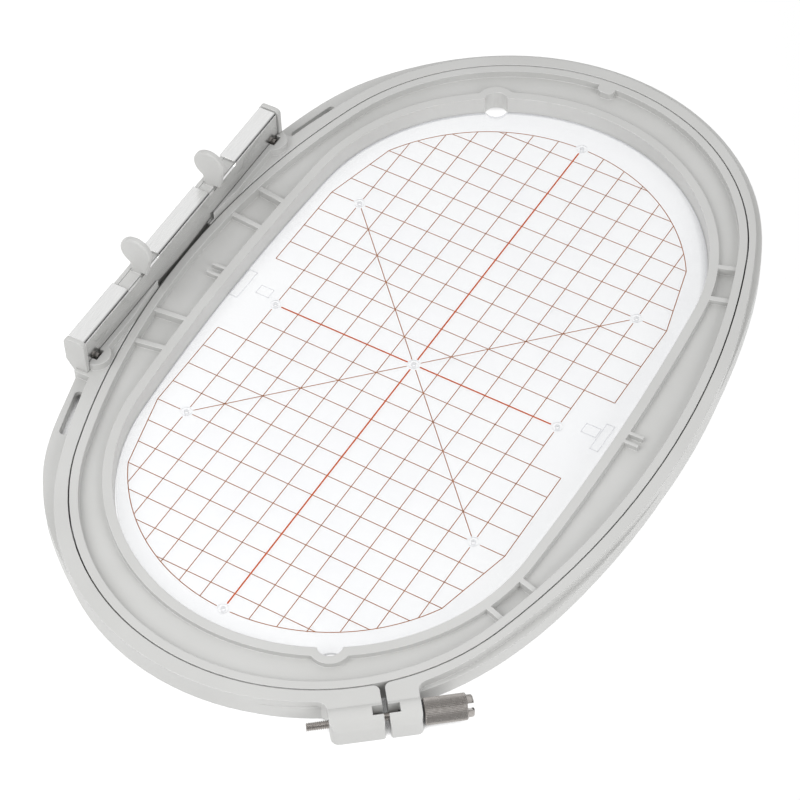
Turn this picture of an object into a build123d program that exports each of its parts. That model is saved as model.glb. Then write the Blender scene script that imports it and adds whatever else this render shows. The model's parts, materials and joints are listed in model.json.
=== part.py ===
from build123d import *
import os
from math import asin, atan2, cos, degrees, radians, sin

# Machine embroidery hoop. Millimetres, +Z up, rings lying flat, long side along Y,
# the arm bracket on the -X side. Shapes are drawn about the rings' own centre and
# moved at the end, so that the origin is the middle of the hoop's box at its base.

OVERRUN = 1.0

# Seam oval between the two rings: four tangent arcs
SEAM_HALF_WIDTH = 101.3
SEAM_HALF_LENGTH = 158.0
SEAM_NARROWING = 11.2
RING_HEIGHT = 9.2

# Inner ring: an I-shaped section, outer rim, web and window lip
INNER_RING_GAP = 0.4
RIM_WALL = 3.1
LIP_WALL = 3.5
LIP_DROP = 0.9
RING_SIDE_WIDTH = 20.4
RING_END_WIDTH = 18.8
WINDOW_NARROWING = 2.0
WINDOW_DRAFT = 0.2
TROUGH_DEPTH = 3.1
POCKET_DEPTH = 4.1
WEB = 2.5
RIB = 2.0
LEFT_RIB_INNER = 27.9
LEFT_RIB_OUTER = 44.3
RIGHT_RIB_INNER = 76.4
RIGHT_RIB_OUTER = 92.4
FIN = 1.3
FIN_PITCH = 4.2
FIN_REACH = 5.5
NOTCH_RADIUS = 4.5
NOTCH_INSET = 1.0
NOTCH_WALL = 3.1
NOTCH_ANGLES = (119.0, -61.0)
RIM_PAD_X = -2.2
RIM_PAD_LENGTH = 6.8
RIM_PAD_REACH = 3.5
RIM_PAD_CORNER = 2.2

# Outer ring: band, flange and flanks
OUTER_RING_GAP = 0.15
BAND = 5.3
BAND_CORNER = 2.6
BAND_SHIFT_X = -0.9
BAND_SHIFT_Y = -0.3
FLANGE_HEIGHT = 6.0
FLANGE_OVERHANG = 14.1
FLANGE_PLATE = 1.8
SKIRT = 1.6
SLOT_WIDTH = 3.4
SLOT_OFFSET = 7.3
SLOT_SHARES = ((0.0094, 0.0333), (0.9671, 0.9936))
FLANK_RIB = 1.2
FLANK_FRONT = (-119.0, -71.5)
FLANK_REAR = (75.5, 119.0)

# Edge of the flange, from the bracket's front end round the right side to its rear end:
# the share of the way along the seam oval, and the share of the widest overhang. The edge
# dips at the middle of the right side, swells evenly to the top, and is widest in the two
# flanks beside the bracket.
FLANGE_SHARES = (
    (0.015, 0.799), (0.0397, 0.808), (0.0578, 0.743), (0.0689, 0.675), (0.0863, 0.581),
    (0.103, 0.47), (0.1217, 0.394), (0.1457, 0.319), (0.174, 0.317), (0.2043, 0.328),
    (0.2434, 0.37), (0.2804, 0.362), (0.3176, 0.363), (0.3541, 0.376), (0.4247, 0.38),
    (0.4628, 0.336), (0.5036, 0.292), (0.5443, 0.292), (0.5824, 0.325), (0.653, 0.358),
    (0.6894, 0.426), (0.7321, 0.514), (0.7724, 0.586), (0.8072, 0.617), (0.8506, 0.628),
    (0.897, 0.645), (0.9252, 0.716), (0.9449, 0.802), (0.9705, 0.882), (0.9873, 0.888),
)

# Screw lugs, drawn on their own axes: U along the screw, V outward from the ring
GAP_NORMAL = -47.8
LUG_STANDOFF = 9.0
LUG_ANGLE = 37.6
SPLIT_GAP = 1.9
LEFT_LUG_END = -19.2
RIGHT_LUG_END = 11.9
SCREW_AXIS_V = 1.9
SCREW_AXIS_Z = 5.3
BARREL_RADIUS = 5.1
LUG_ROOT = 12.0
LUG_BLEND = 4.0
LEFT_LUG_CORNER = 3.0
RIGHT_LUG_CORNER = 2.0
GAP_MOUTH_CORNER = 2.4
GAP_EDGE_CORNER = 0.8
LUG_WINDOW_LEFT = 4.55
LUG_WINDOW_RIGHT = 4.85
LUG_WINDOW_INNER = 1.9
LUG_WINDOW_OUTER = 1.9
LUG_WINDOW_FLOOR = 1.6

# Tension screw, nut, washer, retaining ring and knob
SCREW_RADIUS = 1.5
SCREW_CLEARANCE = 0.08
SCREW_TIP = -26.8
SCREW_TIP_CHAMFER = 0.4
NUT_SIDE = 5.5
NUT_THICKNESS = 2.4
NUT_POCKET_CLEARANCE = 0.1
NUT_START = -14.6
CLIP_RADIUS = 1.78
CLIP_THICKNESS = 0.6
CLIP_GAP = 0.15
GROOVE_DEPTH = 0.3
WASHER_RADIUS = 4.0
WASHER_THICKNESS = 0.5
STACK_GAP = 0.05
KNOB_RADIUS = 4.6
KNOB_LENGTH = 14.5
KNOB_CHAMFER = 0.35
JAW_RADIUS = 3.8
JAW_LENGTH = 2.2
JAW_SLOT = 2.2
JAW_ROUNDING = 0.9
JAW_TURN = 50.0

# Bracket housing on the left long side
STEEL_CLEARANCE = 0.2
BRACKET_EDGE_DEPTH = 4.2
HOUSING_DEPTH = 7.3
CAP_DEPTH = 8.1
CAP_PROUD = 0.6
SHEET = 1.0
SHEET_BEND = 1.5
CHANNEL_TOP = 23.2
CHANNEL_FRONT = -64.1
CHANNEL_REAR = 69.0
CHANNEL_SEAT_GAP = 0.35
CAP = 1.8
CAP_TAPER_Z = 12.6
CAP_CORNER = 2.2
CAP_BEND_CORNER = 2.0
HOUSING_WALL = 1.5
HOUSING_FLOOR = 1.9
CAVITY_FRONT = -46.0
CAVITY_REAR = 46.0
STOP_FRONT = -2.25
STOP_REAR = 3.75
STEP_PLATFORM = 1.4

# Boss pads and strips of the outer ring, in front of the steel channel
STRIP_WALL = 2.1
STRIP_TOP = 12.3
STRIP_GAP = 0.1
FRONT_STRIP_END = -18.2
REAR_STRIP_END = 18.2
REAR_STRIP_SLANT = 3.5
PAD_RADIUS = 5.5
FRONT_PAD_Y = -59.1
REAR_PAD_Y = 65.3
PAD_NOTCH = 1.9

# Channel windows and their rivets
CHANNEL_WINDOW_LENGTH = 5.0
CHANNEL_WINDOW_HEIGHT = 3.4
CHANNEL_WINDOW_Z = 11.4
RIVET_HEAD_RADIUS = 1.25
RIVET_HEAD = 2.4
RIVET_SHANK_RADIUS = 0.8
RIVET_SHANK = 3.0

# Arm pin sockets and the housing's screws
ARM_PIN_DEPTH = 3.85
FRONT_ARM_PIN_Y = -52.0
REAR_ARM_PIN_Y = 57.0
SOCKET_RADIUS = 2.05
SOCKET_LENGTH = 10.0
SOCKET_RELIEF = 0.55
LATCH_CHAMBER = 2.2
HOUSING_SCREW_DEPTH = 2.3
HOUSING_SCREW_YS = (-61.6, -48.0, 48.6, 66.6)
HOUSING_SCREW_RADIUS = 0.9
HOUSING_SCREW_HEAD_RADIUS = 1.6
HOUSING_SCREW_HEAD = 1.2
HOUSING_SCREW_RECESS = 1.8
HOUSING_SCREW_LENGTH = 6.2
HOUSING_SCREW_SLOT = 0.5

# Latch slides and thumb tabs
SLIDE_CLEARANCE = 0.1
SLIDE_TOP = 22.0
FRONT_SLIDE_OUTER = -42.0
FRONT_SLIDE_INNER = -13.0
REAR_SLIDE_INNER = 14.25
REAR_SLIDE_OUTER = 44.5
TAB_THICKNESS = 2.5
FRONT_TAB_Y = -24.45
REAR_TAB_Y = 26.05
TAB_DEPTH = 2.5
TAB_CENTRE_Z = 32.5
TAB_RADIUS = 6.5
TAB_NECK_OUTER = 5.3
TAB_NECK_INNER = 1.6
TAB_NECK_BLEND = 2.5
TAB_EDGE = 0.8
TAB_OVERHANG_GAP = 0.4
FRONT_OPENING = (-34.9, -14.5)
REAR_OPENING = (20.8, 39.5)
OPENING_LEDGE = 0.7

# Latch forks, guide rod and return springs
FORK_THICKNESS = 1.0
FORK_WIDTH = 3.7
FORK_NOTCH = 2.7
FORK_REACH = 1.2
FORK_ROOT = 8.0
FORK_CLEARANCE = 0.05
FORK_LIFT = 0.6
ROD_RADIUS = 0.8
ROD_CLEARANCE = 0.07
ROD_OVERLAP = 4.5
ROD_HOLE_DEPTH = 9.5
ROD_Z = 14.5
SPRING_RADIUS = 1.8
SPRING_WIRE = 0.5
SPRING_GAP = 0.1

# Template sheet
TEMPLATE_CLEARANCE = 0.3
TEMPLATE_THICKNESS = 1.2
TEMPLATE_X = -1.98
TEMPLATE_Y = -1.0
TEMPLATE_TURN = -1.4
MARK_PITCH = 60.0
MARK_SIDE_MARGIN = 20.4
MARK_END_MARGIN = 11.2
SCALLOP_OFFSET = 1.5
MARK_BOSS_RADIUS = 2.0
MARK_BOSS_HEIGHT = 0.4
MARK_HOLE_RADIUS = 0.9


class Oval:
    """Four tangent arcs: two long side arcs and two tighter end arcs."""

    def __init__(self, half_width, half_length, end_radius):
        self.end_radius = end_radius
        squares = half_width**2 + half_length**2 - 2 * half_length * end_radius
        self.side_radius = squares / (2 * (half_width - end_radius))
        self.side_shift = self.side_radius - half_width
        self.end_shift = half_length - end_radius
        self.joint = degrees(atan2(self.end_shift, self.side_shift))

    def face(self, grow=0):
        """The oval, with every arc moved outward by grow."""
        side = self.side_radius + grow
        end = self.end_radius + grow
        half, turn = 180, 360
        arcs = [
            CenterArc((-self.side_shift, 0), side, -self.joint, 2 * self.joint),
            CenterArc((0, self.end_shift), end, self.joint, half - 2 * self.joint),
            CenterArc((self.side_shift, 0), side, half - self.joint, 2 * self.joint),
            CenterArc((0, -self.end_shift), end, half + self.joint, turn - half - 2 * self.joint),
        ]
        return make_face(arcs)

    def point(self, normal, grow=0):
        """The point whose outward normal has this direction in degrees."""
        half = 180
        if abs(normal) < self.joint:
            x, y, radius = -self.side_shift, 0, self.side_radius
        elif abs(normal) > half - self.joint:
            x, y, radius = self.side_shift, 0, self.side_radius
        else:
            x, radius = 0, self.end_radius
            y = self.end_shift if normal > 0 else -self.end_shift
        reach = radius + grow
        return (x + reach * cos(radians(normal)), y + reach * sin(radians(normal)))

    def side_normal(self, side, y):
        """The normal at a height y on the right side (1) or the left side (-1)."""
        tilt = degrees(asin(y / self.side_radius))
        return tilt if side > 0 else 180 - tilt

    def arcs(self):
        """The arcs met on the way round from the middle of the left side, by normal."""
        half = 180
        limits = (-half, self.joint - half, -self.joint, self.joint, half - self.joint, half)
        radii = (self.side_radius, self.end_radius) * 2 + (self.side_radius,)
        return list(zip(limits[:-1], limits[1:], radii))

    def distance(self, normal):
        """Length of the way round to the point with this normal."""
        return sum(
            radius * radians(min(max(normal, low), high) - low) for low, high, radius in self.arcs()
        )

    def normal_at(self, distance):
        """The normal at this length of the way round."""
        left = distance
        for low, high, radius in self.arcs():
            length = radius * radians(high - low)
            if left <= length:
                break
            left -= length
        return low + degrees(left / radius)


SEAM_END_RADIUS = SEAM_HALF_WIDTH - SEAM_NARROWING
WINDOW_HALF_WIDTH = SEAM_HALF_WIDTH - RING_SIDE_WIDTH
WINDOW_HALF_LENGTH = SEAM_HALF_LENGTH - RING_END_WIDTH
seam = Oval(SEAM_HALF_WIDTH, SEAM_HALF_LENGTH, SEAM_END_RADIUS)
window = Oval(WINDOW_HALF_WIDTH, WINDOW_HALF_LENGTH, WINDOW_HALF_WIDTH - WINDOW_NARROWING)
band_oval = Oval(SEAM_HALF_WIDTH + BAND, SEAM_HALF_LENGTH + BAND, SEAM_END_RADIUS + BAND_CORNER)
lug_plane = Plane(
    origin=(*seam.point(GAP_NORMAL, LUG_STANDOFF), 0),
    x_dir=(cos(radians(LUG_ANGLE)), sin(radians(LUG_ANGLE)), 0),
    z_dir=(0, 0, 1),
)
HALF_GAP = SPLIT_GAP / 2
LUG_FACE_V = SCREW_AXIS_V + BARREL_RADIUS
LUG_TOP = SCREW_AXIS_Z + BARREL_RADIUS
WASHER_START = RIGHT_LUG_END + STACK_GAP
KNOB_START = WASHER_START + WASHER_THICKNESS + STACK_GAP
KNOB_END = KNOB_START + KNOB_LENGTH
LIP_TOP = RING_HEIGHT - LIP_DROP
TROUGH_FLOOR = RING_HEIGHT - TROUGH_DEPTH
STEEL_FACE_X = -SEAM_HALF_WIDTH - STEEL_CLEARANCE
BRACKET_EDGE_X = STEEL_FACE_X - BRACKET_EDGE_DEPTH
HOUSING_OUTER_X = STEEL_FACE_X - HOUSING_DEPTH
CAP_OUTER_X = STEEL_FACE_X - CAP_DEPTH
CAP_FACE_X = STEEL_FACE_X + CAP_PROUD
CAP_TOP = CHANNEL_TOP + CAP_PROUD
ARM_PIN_X = STEEL_FACE_X - ARM_PIN_DEPTH
HOUSING_SCREW_X = STEEL_FACE_X - HOUSING_SCREW_DEPTH
TAB_CENTRE_X = STEEL_FACE_X - TAB_DEPTH
TAB_NECK_LEFT = STEEL_FACE_X - TAB_NECK_OUTER
TAB_NECK_RIGHT = STEEL_FACE_X + TAB_NECK_INNER
STEEL_BACK_X = STEEL_FACE_X - SHEET
CAVITY_OUTER_X = HOUSING_OUTER_X + HOUSING_WALL
HOUSING_BASE = FLANGE_HEIGHT
CAVITY_FLOOR = HOUSING_BASE + HOUSING_FLOOR
PLATE_UNDERSIDE = CHANNEL_TOP - SHEET
HOUSING_FRONT = CHANNEL_FRONT - CHANNEL_SEAT_GAP - CAP
HOUSING_REAR = CHANNEL_REAR + CHANNEL_SEAT_GAP + CAP
SOCKET_TOP = HOUSING_BASE + SOCKET_LENGTH
SLIDE_OUTER_X = CAVITY_OUTER_X + SLIDE_CLEARANCE
SLIDE_INNER_X = STEEL_BACK_X - SLIDE_CLEARANCE
SLIDE_BASE = CAVITY_FLOOR + SLIDE_CLEARANCE
ROD_X = (SLIDE_OUTER_X + SLIDE_INNER_X) / 2


def block(x_range, y_range, z_range):
    """A box between pairs of limits, given in either order."""
    low = [min(pair) for pair in (x_range, y_range, z_range)]
    size = [abs(pair[1] - pair[0]) for pair in (x_range, y_range, z_range)]
    return Pos(*low) * Box(*size, align=(Align.MIN, Align.MIN, Align.MIN))


def rod(start, end, radius):
    """A round bar between two points."""
    run = Vector(*end) - Vector(*start)
    base = Plane(origin=start, z_dir=run)
    return base * Cylinder(radius, run.length, align=(Align.CENTER, Align.CENTER, Align.MIN))


def lug_point(u, v, z):
    """A place on the lugs' axes, as a place in the model."""
    return tuple(lug_plane.from_local_coords(Vector(u, -v, z)))


def lug_rod(start, end, radius):
    """A round bar about the screw's axis."""
    return rod(
        lug_point(start, SCREW_AXIS_V, SCREW_AXIS_Z),
        lug_point(end, SCREW_AXIS_V, SCREW_AXIS_Z),
        radius,
    )


def lug_block(u_range, v_range, z_range):
    """A box on the lugs' axes."""
    return lug_plane * block(u_range, (-v_range[0], -v_range[1]), z_range)


def lug_rectangle(u_range, v_range):
    """A flat rectangle on the lugs' axes."""
    width = u_range[1] - u_range[0]
    depth = v_range[1] - v_range[0]
    corner = Pos(u_range[0], -v_range[1])
    return lug_plane * corner * Rectangle(width, depth, align=(Align.MIN, Align.MIN))


def round_corner(face, u, v, radius):
    """Round the corner of a flat face that lies nearest to a place on the lugs' axes."""
    near = Vector(*lug_point(u, v, 0))
    corner = min(face.vertices(), key=lambda vertex: (Vector(*vertex) - near).length)
    return fillet(corner, radius)


def lug_corner(u):
    """Rough place where a lug's side meets the ring's band."""
    return (u, LUG_FACE_V - LUG_ROOT)


# Inner ring
def trough_face():
    """Plan of the trough, from the window lip to the rim."""
    return seam.face(-INNER_RING_GAP - RIM_WALL) - window.face(LIP_WALL)


def rib_bar(side, y, z_range):
    """A bar across one side of the ring, square to the seam at this height."""
    normal = seam.side_normal(side, y)
    bar = block((-RING_SIDE_WIDTH, OVERRUN), (-RIB / 2, RIB / 2), z_range)
    return Pos(*seam.point(normal)) * Rot(0, 0, normal) * bar


def rib_bars(z_range):
    """Bars at every rib's place."""
    places = [(-1, LEFT_RIB_INNER), (-1, LEFT_RIB_OUTER), (1, RIGHT_RIB_INNER), (1, RIGHT_RIB_OUTER)]
    return [rib_bar(side, sign * y, z_range) for side, y in places for sign in (-1, 1)]


def pocket_wedges(z_range):
    """Solids over the four deep pockets, each between the two ribs of a pair."""
    pairs = [(-1, LEFT_RIB_INNER, LEFT_RIB_OUTER), (1, RIGHT_RIB_INNER, RIGHT_RIB_OUTER)]
    wedges = []
    for side, near, far in pairs:
        for sign in (-1, 1):
            first, last = (seam.side_normal(side, sign * y) for y in (near, far))
            corners = [seam.point(first, OVERRUN), seam.point(last, OVERRUN)]
            corners += [seam.point(normal, -RING_SIDE_WIDTH) for normal in (last, first)]
            face = make_face(Polyline(*corners, close=True))
            wedges.append(extrude(Pos(0, 0, z_range[0]) * face, z_range[1] - z_range[0]))
    return wedges


def make_inner_ring():
    """Inner ring with its trough, pockets, ribs, fins, notches and cored underside."""
    plan = trough_face()
    above = RING_HEIGHT + OVERRUN
    trough = extrude(Pos(0, 0, TROUGH_FLOOR) * plan, above - TROUGH_FLOOR)
    bars = rib_bars((-2 * OVERRUN, LIP_TOP))
    pocket_floor = RING_HEIGHT - POCKET_DEPTH
    deep = extrude(Pos(0, 0, pocket_floor) * plan, POCKET_DEPTH)
    core = extrude(Pos(0, 0, -OVERRUN) * plan, TROUGH_FLOOR - WEB + OVERRUN)
    body = extrude(seam.face(-INNER_RING_GAP), RING_HEIGHT)
    body -= trough - bars
    body -= [(deep & wedge) - bars for wedge in pocket_wedges((pocket_floor, above))]
    body -= core - (pocket_wedges((-2 * OVERRUN, TROUGH_FLOOR)) + bars)
    body += make_notch_walls(plan)
    body += make_fins()
    body -= make_lip_step()
    body += make_rim_pad()
    body -= loft(
        [window.face(-WINDOW_DRAFT), Pos(0, 0, RING_HEIGHT) * window.face()],
        ruled=True,
    )
    body -= make_notch_cuts()
    return body


def make_lip_step():
    """What is taken off the window's lip, which stands lower than the rim."""
    inside = window.face(LIP_WALL + OVERRUN)
    return extrude(Pos(0, 0, LIP_TOP) * inside, LIP_DROP + OVERRUN)


def make_fins():
    """Two short fins on each side's middle, outward from the lip."""
    fins = []
    for side in (-1, 1):
        for sign in (-1, 1):
            y = sign * FIN_PITCH / 2
            lip = WINDOW_HALF_WIDTH + LIP_WALL / 2
            reach = WINDOW_HALF_WIDTH + LIP_WALL + FIN_REACH
            limits = (y - FIN / 2, y + FIN / 2)
            fins.append(block((side * lip, side * reach), limits, (TROUGH_FLOOR, LIP_TOP)))
    return fins


def make_rim_pad():
    """The small pad inside the rim, near the middle of the far end."""
    rim = SEAM_HALF_LENGTH - INNER_RING_GAP - RIM_WALL
    size = (RIM_PAD_LENGTH, RIM_PAD_REACH + RIM_WALL)
    face = Pos(RIM_PAD_X, rim - RIM_PAD_REACH) * Rectangle(*size, align=(Align.CENTER, Align.MIN))
    corners = face.vertices().sort_by(Axis.Y)[:2]
    face = fillet(corners, RIM_PAD_CORNER)
    outline = seam.face(-INNER_RING_GAP - RIM_WALL / 2)
    return extrude(Pos(0, 0, TROUGH_FLOOR) * (face & outline), TROUGH_DEPTH)


def make_notch_walls(plan):
    """The lip's round walls about the finger notches."""
    walls = []
    for angle in NOTCH_ANGLES:
        disc = Pos(*window.point(angle, -NOTCH_INSET)) * Circle(NOTCH_RADIUS + NOTCH_WALL)
        walls.append(extrude(disc & plan, LIP_TOP))
    return walls


def make_notch_cuts():
    """The finger notches in the window's wall."""
    cuts = []
    for angle in NOTCH_ANGLES:
        place = Pos(*window.point(angle, -NOTCH_INSET), -OVERRUN)
        cuts.append(extrude(place * Circle(NOTCH_RADIUS), RING_HEIGHT + 2 * OVERRUN))
    return cuts


# Outer ring
def way_normal(share):
    """The seam's normal at a share of the way from the bracket's front to its rear end."""
    start = seam.distance(-seam.side_normal(-1, -HOUSING_FRONT))
    end = seam.distance(seam.side_normal(-1, HOUSING_REAR))
    return seam.normal_at(start + share * (end - start))


def flange_face(inset=0):
    """Outline of the flange: one flowing curve and a straight edge under the bracket."""
    edge_x = BRACKET_EDGE_X + inset
    front = (edge_x, HOUSING_FRONT)
    rear = (edge_x, HOUSING_REAR)
    points = [
        seam.point(way_normal(way), share * FLANGE_OVERHANG - inset) for way, share in FLANGE_SHARES
    ]
    return make_face([Spline(front, *points, rear), Line(rear, front)])


def open_ring(face):
    """Take the seam oval and the split gap out of a plan, and round the gap's mouth."""
    face -= seam.face(OUTER_RING_GAP)
    face -= lug_rectangle((-HALF_GAP, HALF_GAP), (-LUG_ROOT, LUG_FACE_V + OVERRUN))
    mouth = lug_mouth()
    for side in (-1, 1):
        face = round_corner(face, side * HALF_GAP, mouth, GAP_MOUTH_CORNER)
    return face


def lug_mouth():
    """V of the place where the split gap opens into the seam oval."""
    normal = LUG_ANGLE - 90
    x, y = seam.point(normal, OUTER_RING_GAP)
    foot = lug_plane.to_local_coords(Vector(x, y, 0))
    return -foot.Y


def lugs_face():
    """Plan of both lugs, reaching into the band."""
    left = lug_rectangle((LEFT_LUG_END, -HALF_GAP), (-LUG_ROOT, LUG_FACE_V))
    right = lug_rectangle((HALF_GAP, RIGHT_LUG_END), (-LUG_ROOT, LUG_FACE_V))
    return left + right


def band_plan():
    """Plan of the band with its lugs, corners rounded and the gap open."""
    band = Pos(BAND_SHIFT_X, BAND_SHIFT_Y) * band_oval.face()
    face = band + lugs_face()
    face = open_ring(face)
    for u in (LEFT_LUG_END, RIGHT_LUG_END):
        face = round_corner(face, *lug_corner(u), LUG_BLEND)
    face = round_corner(face, LEFT_LUG_END, LUG_FACE_V, LEFT_LUG_CORNER)
    face = round_corner(face, RIGHT_LUG_END, LUG_FACE_V, RIGHT_LUG_CORNER)
    for side in (-1, 1):
        face = round_corner(face, side * HALF_GAP, LUG_FACE_V, GAP_EDGE_CORNER)
    return face


def make_lug_barrel(plan):
    """The round top of the lugs about the screw's axis."""
    barrel = lug_rod(LEFT_LUG_END, RIGHT_LUG_END, BARREL_RADIUS)
    return barrel & extrude(plan, LUG_TOP + OVERRUN)


def make_lug_shoulder():
    """What is cut off the lugs outside the round barrel."""
    ends = (LEFT_LUG_END - OVERRUN, RIGHT_LUG_END + OVERRUN)
    corner = lug_block(ends, (SCREW_AXIS_V, LUG_FACE_V + OVERRUN), (SCREW_AXIS_Z, LUG_TOP))
    return corner - lug_rod(*ends, BARREL_RADIUS)


def make_lug_cuts():
    """Window, screw bore and nut pocket of the lugs."""
    opening_window = lug_block(
        (-LUG_WINDOW_LEFT, LUG_WINDOW_RIGHT),
        (SCREW_AXIS_V - LUG_WINDOW_INNER, SCREW_AXIS_V + LUG_WINDOW_OUTER),
        (LUG_WINDOW_FLOOR, LUG_TOP + OVERRUN),
    )
    bore = lug_rod(LEFT_LUG_END - OVERRUN, RIGHT_LUG_END + OVERRUN, SCREW_RADIUS + SCREW_CLEARANCE)
    half = NUT_SIDE / 2 + NUT_POCKET_CLEARANCE
    pocket = lug_block(
        (NUT_START - NUT_POCKET_CLEARANCE, NUT_START + NUT_THICKNESS + NUT_POCKET_CLEARANCE),
        (SCREW_AXIS_V - half, SCREW_AXIS_V + half),
        (-OVERRUN, SCREW_AXIS_Z + half),
    )
    return [opening_window, bore, pocket]


def make_flank_hollows():
    """Cored undersides of the two flanks, each with one cross rib."""
    plan = flange_face(SKIRT) - seam.face(BAND)
    hollow = extrude(Pos(0, 0, -OVERRUN) * plan, FLANGE_HEIGHT - FLANGE_PLATE + OVERRUN)
    cuts = []
    for limits in (FLANK_FRONT, FLANK_REAR):
        span = block((HOUSING_OUTER_X, 0), limits, (-OVERRUN, FLANGE_HEIGHT))
        middle = (limits[0] + limits[1]) / 2
        rib = block(
            (HOUSING_OUTER_X, 0),
            (middle - FLANK_RIB / 2, middle + FLANK_RIB / 2),
            (-OVERRUN, FLANGE_HEIGHT),
        )
        cuts.append(hollow & (span - rib))
    return cuts


def make_flank_slots():
    """Round-ended slots through the flanks' plate."""
    slots = []
    for pair in SLOT_SHARES:
        ends = [seam.point(way_normal(share), SLOT_OFFSET) for share in pair]
        middle = ((ends[0][0] + ends[1][0]) / 2, (ends[0][1] + ends[1][1]) / 2)
        shape = SlotCenterPoint(middle, ends[1], SLOT_WIDTH)
        slots.append(extrude(shape, FLANGE_HEIGHT + OVERRUN))
    return slots


def make_strips():
    """Wall strips and boss pads in front of the steel channel."""
    wall_x = STEEL_FACE_X + STRIP_GAP
    front = block((wall_x, wall_x + STRIP_WALL), (FRONT_PAD_Y, FRONT_STRIP_END), (0, STRIP_TOP))
    slant = make_face(
        Polyline(
            (wall_x, REAR_PAD_Y),
            (wall_x, REAR_STRIP_END + REAR_STRIP_SLANT),
            (wall_x + STRIP_WALL, REAR_STRIP_END),
            (wall_x + STRIP_WALL, REAR_PAD_Y),
            close=True,
        )
    )
    strips = front + extrude(slant, STRIP_TOP)
    for y in (FRONT_PAD_Y, REAR_PAD_Y):
        pad = Pos(wall_x, y) * Circle(PAD_RADIUS)
        pad &= Pos(wall_x, y) * Rectangle(PAD_RADIUS, 2 * PAD_RADIUS, align=(Align.MIN, Align.CENTER))
        strips += extrude(pad, STRIP_TOP)
    for y in (FRONT_PAD_Y, REAR_PAD_Y):
        half = CHANNEL_WINDOW_LENGTH / 2
        strips -= block((wall_x, wall_x + PAD_NOTCH), (y - half, y + half), (FLANGE_HEIGHT, STRIP_TOP))
    return strips


def make_platforms():
    """Ends of the band under the pads, squared off against the bracket's caps."""
    front = block(
        (BRACKET_EDGE_X, -SEAM_HALF_WIDTH + PAD_RADIUS),
        (HOUSING_FRONT - STEP_PLATFORM, HOUSING_FRONT + PAD_RADIUS),
        (0, RING_HEIGHT),
    )
    rear = block(
        (BRACKET_EDGE_X, -SEAM_HALF_WIDTH + PAD_RADIUS),
        (HOUSING_REAR - PAD_RADIUS, HOUSING_REAR + STEP_PLATFORM),
        (0, RING_HEIGHT),
    )
    return [front, rear]


def make_cap_seats():
    """Room for the end caps, which stand proud of the steel channel."""
    reach = CAP + CHANNEL_SEAT_GAP
    x_range = (BRACKET_EDGE_X, CAP_FACE_X + STRIP_GAP)
    z_range = (FLANGE_HEIGHT, CHANNEL_TOP)
    front = block(x_range, (HOUSING_FRONT - STACK_GAP, HOUSING_FRONT + reach), z_range)
    rear = block(x_range, (HOUSING_REAR - reach, HOUSING_REAR + STACK_GAP), z_range)
    return [front, rear]


def make_outer_ring():
    """Split outer ring with flange, lugs, flanks, pads and the bracket's seat."""
    plan = band_plan()
    body = extrude(open_ring(flange_face()), FLANGE_HEIGHT)
    band = extrude(plan, RING_HEIGHT)
    band -= make_lug_shoulder()
    body += band
    body += make_lug_barrel(plan)
    body += make_platforms()
    seat = block(
        (HOUSING_OUTER_X - PAD_RADIUS, STEEL_FACE_X + STRIP_GAP),
        (HOUSING_FRONT - STACK_GAP, HOUSING_REAR + STACK_GAP),
        (FLANGE_HEIGHT, CHANNEL_TOP),
    )
    body -= seat
    middle = block(
        (STEEL_FACE_X, -SEAM_HALF_WIDTH + STRIP_WALL),
        (FRONT_STRIP_END, REAR_STRIP_END),
        (FLANGE_HEIGHT, RING_HEIGHT + OVERRUN),
    )
    body -= middle
    body += make_strips()
    body -= make_cap_seats()
    body -= extrude(Pos(0, 0, -OVERRUN) * seam.face(OUTER_RING_GAP), LUG_TOP + STRIP_TOP)
    body -= make_lug_cuts()
    body -= make_flank_hollows()
    body -= make_flank_slots()
    body -= make_seat_holes()
    return body


def make_seat_holes():
    """Holes in the flange for the arm's pins and the housing's screws."""
    cuts = []
    for y in (FRONT_ARM_PIN_Y, REAR_ARM_PIN_Y):
        base, top = (ARM_PIN_X, y, -OVERRUN), (ARM_PIN_X, y, FLANGE_HEIGHT + OVERRUN)
        cuts.append(rod(base, top, SOCKET_RADIUS + SOCKET_RELIEF))
    for y in HOUSING_SCREW_YS:
        bottom = (HOUSING_SCREW_X, y, -OVERRUN)
        head = (HOUSING_SCREW_X, y, HOUSING_SCREW_RECESS + HOUSING_SCREW_HEAD)
        top = (HOUSING_SCREW_X, y, FLANGE_HEIGHT + OVERRUN)
        cuts.append(rod(bottom, head, HOUSING_SCREW_HEAD_RADIUS + SLIDE_CLEARANCE))
        cuts.append(rod(bottom, top, HOUSING_SCREW_RADIUS + SLIDE_CLEARANCE))
    return cuts


# Tension screw and its small parts
def make_tension_screw():
    """Shaft of the screw, ending flush with the knob."""
    shaft = lug_rod(SCREW_TIP, KNOB_END, SCREW_RADIUS)
    tip = shaft.edges().filter_by(GeomType.CIRCLE).sort_by(Axis.X)[0]
    shaft = chamfer(tip, SCREW_TIP_CHAMFER)
    groove_start = LUG_WINDOW_RIGHT - CLIP_GAP - CLIP_THICKNESS
    groove = lug_rod(groove_start, groove_start + CLIP_THICKNESS, SCREW_RADIUS)
    groove -= lug_rod(groove_start, groove_start + CLIP_THICKNESS, SCREW_RADIUS - GROOVE_DEPTH)
    return shaft - groove


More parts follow.
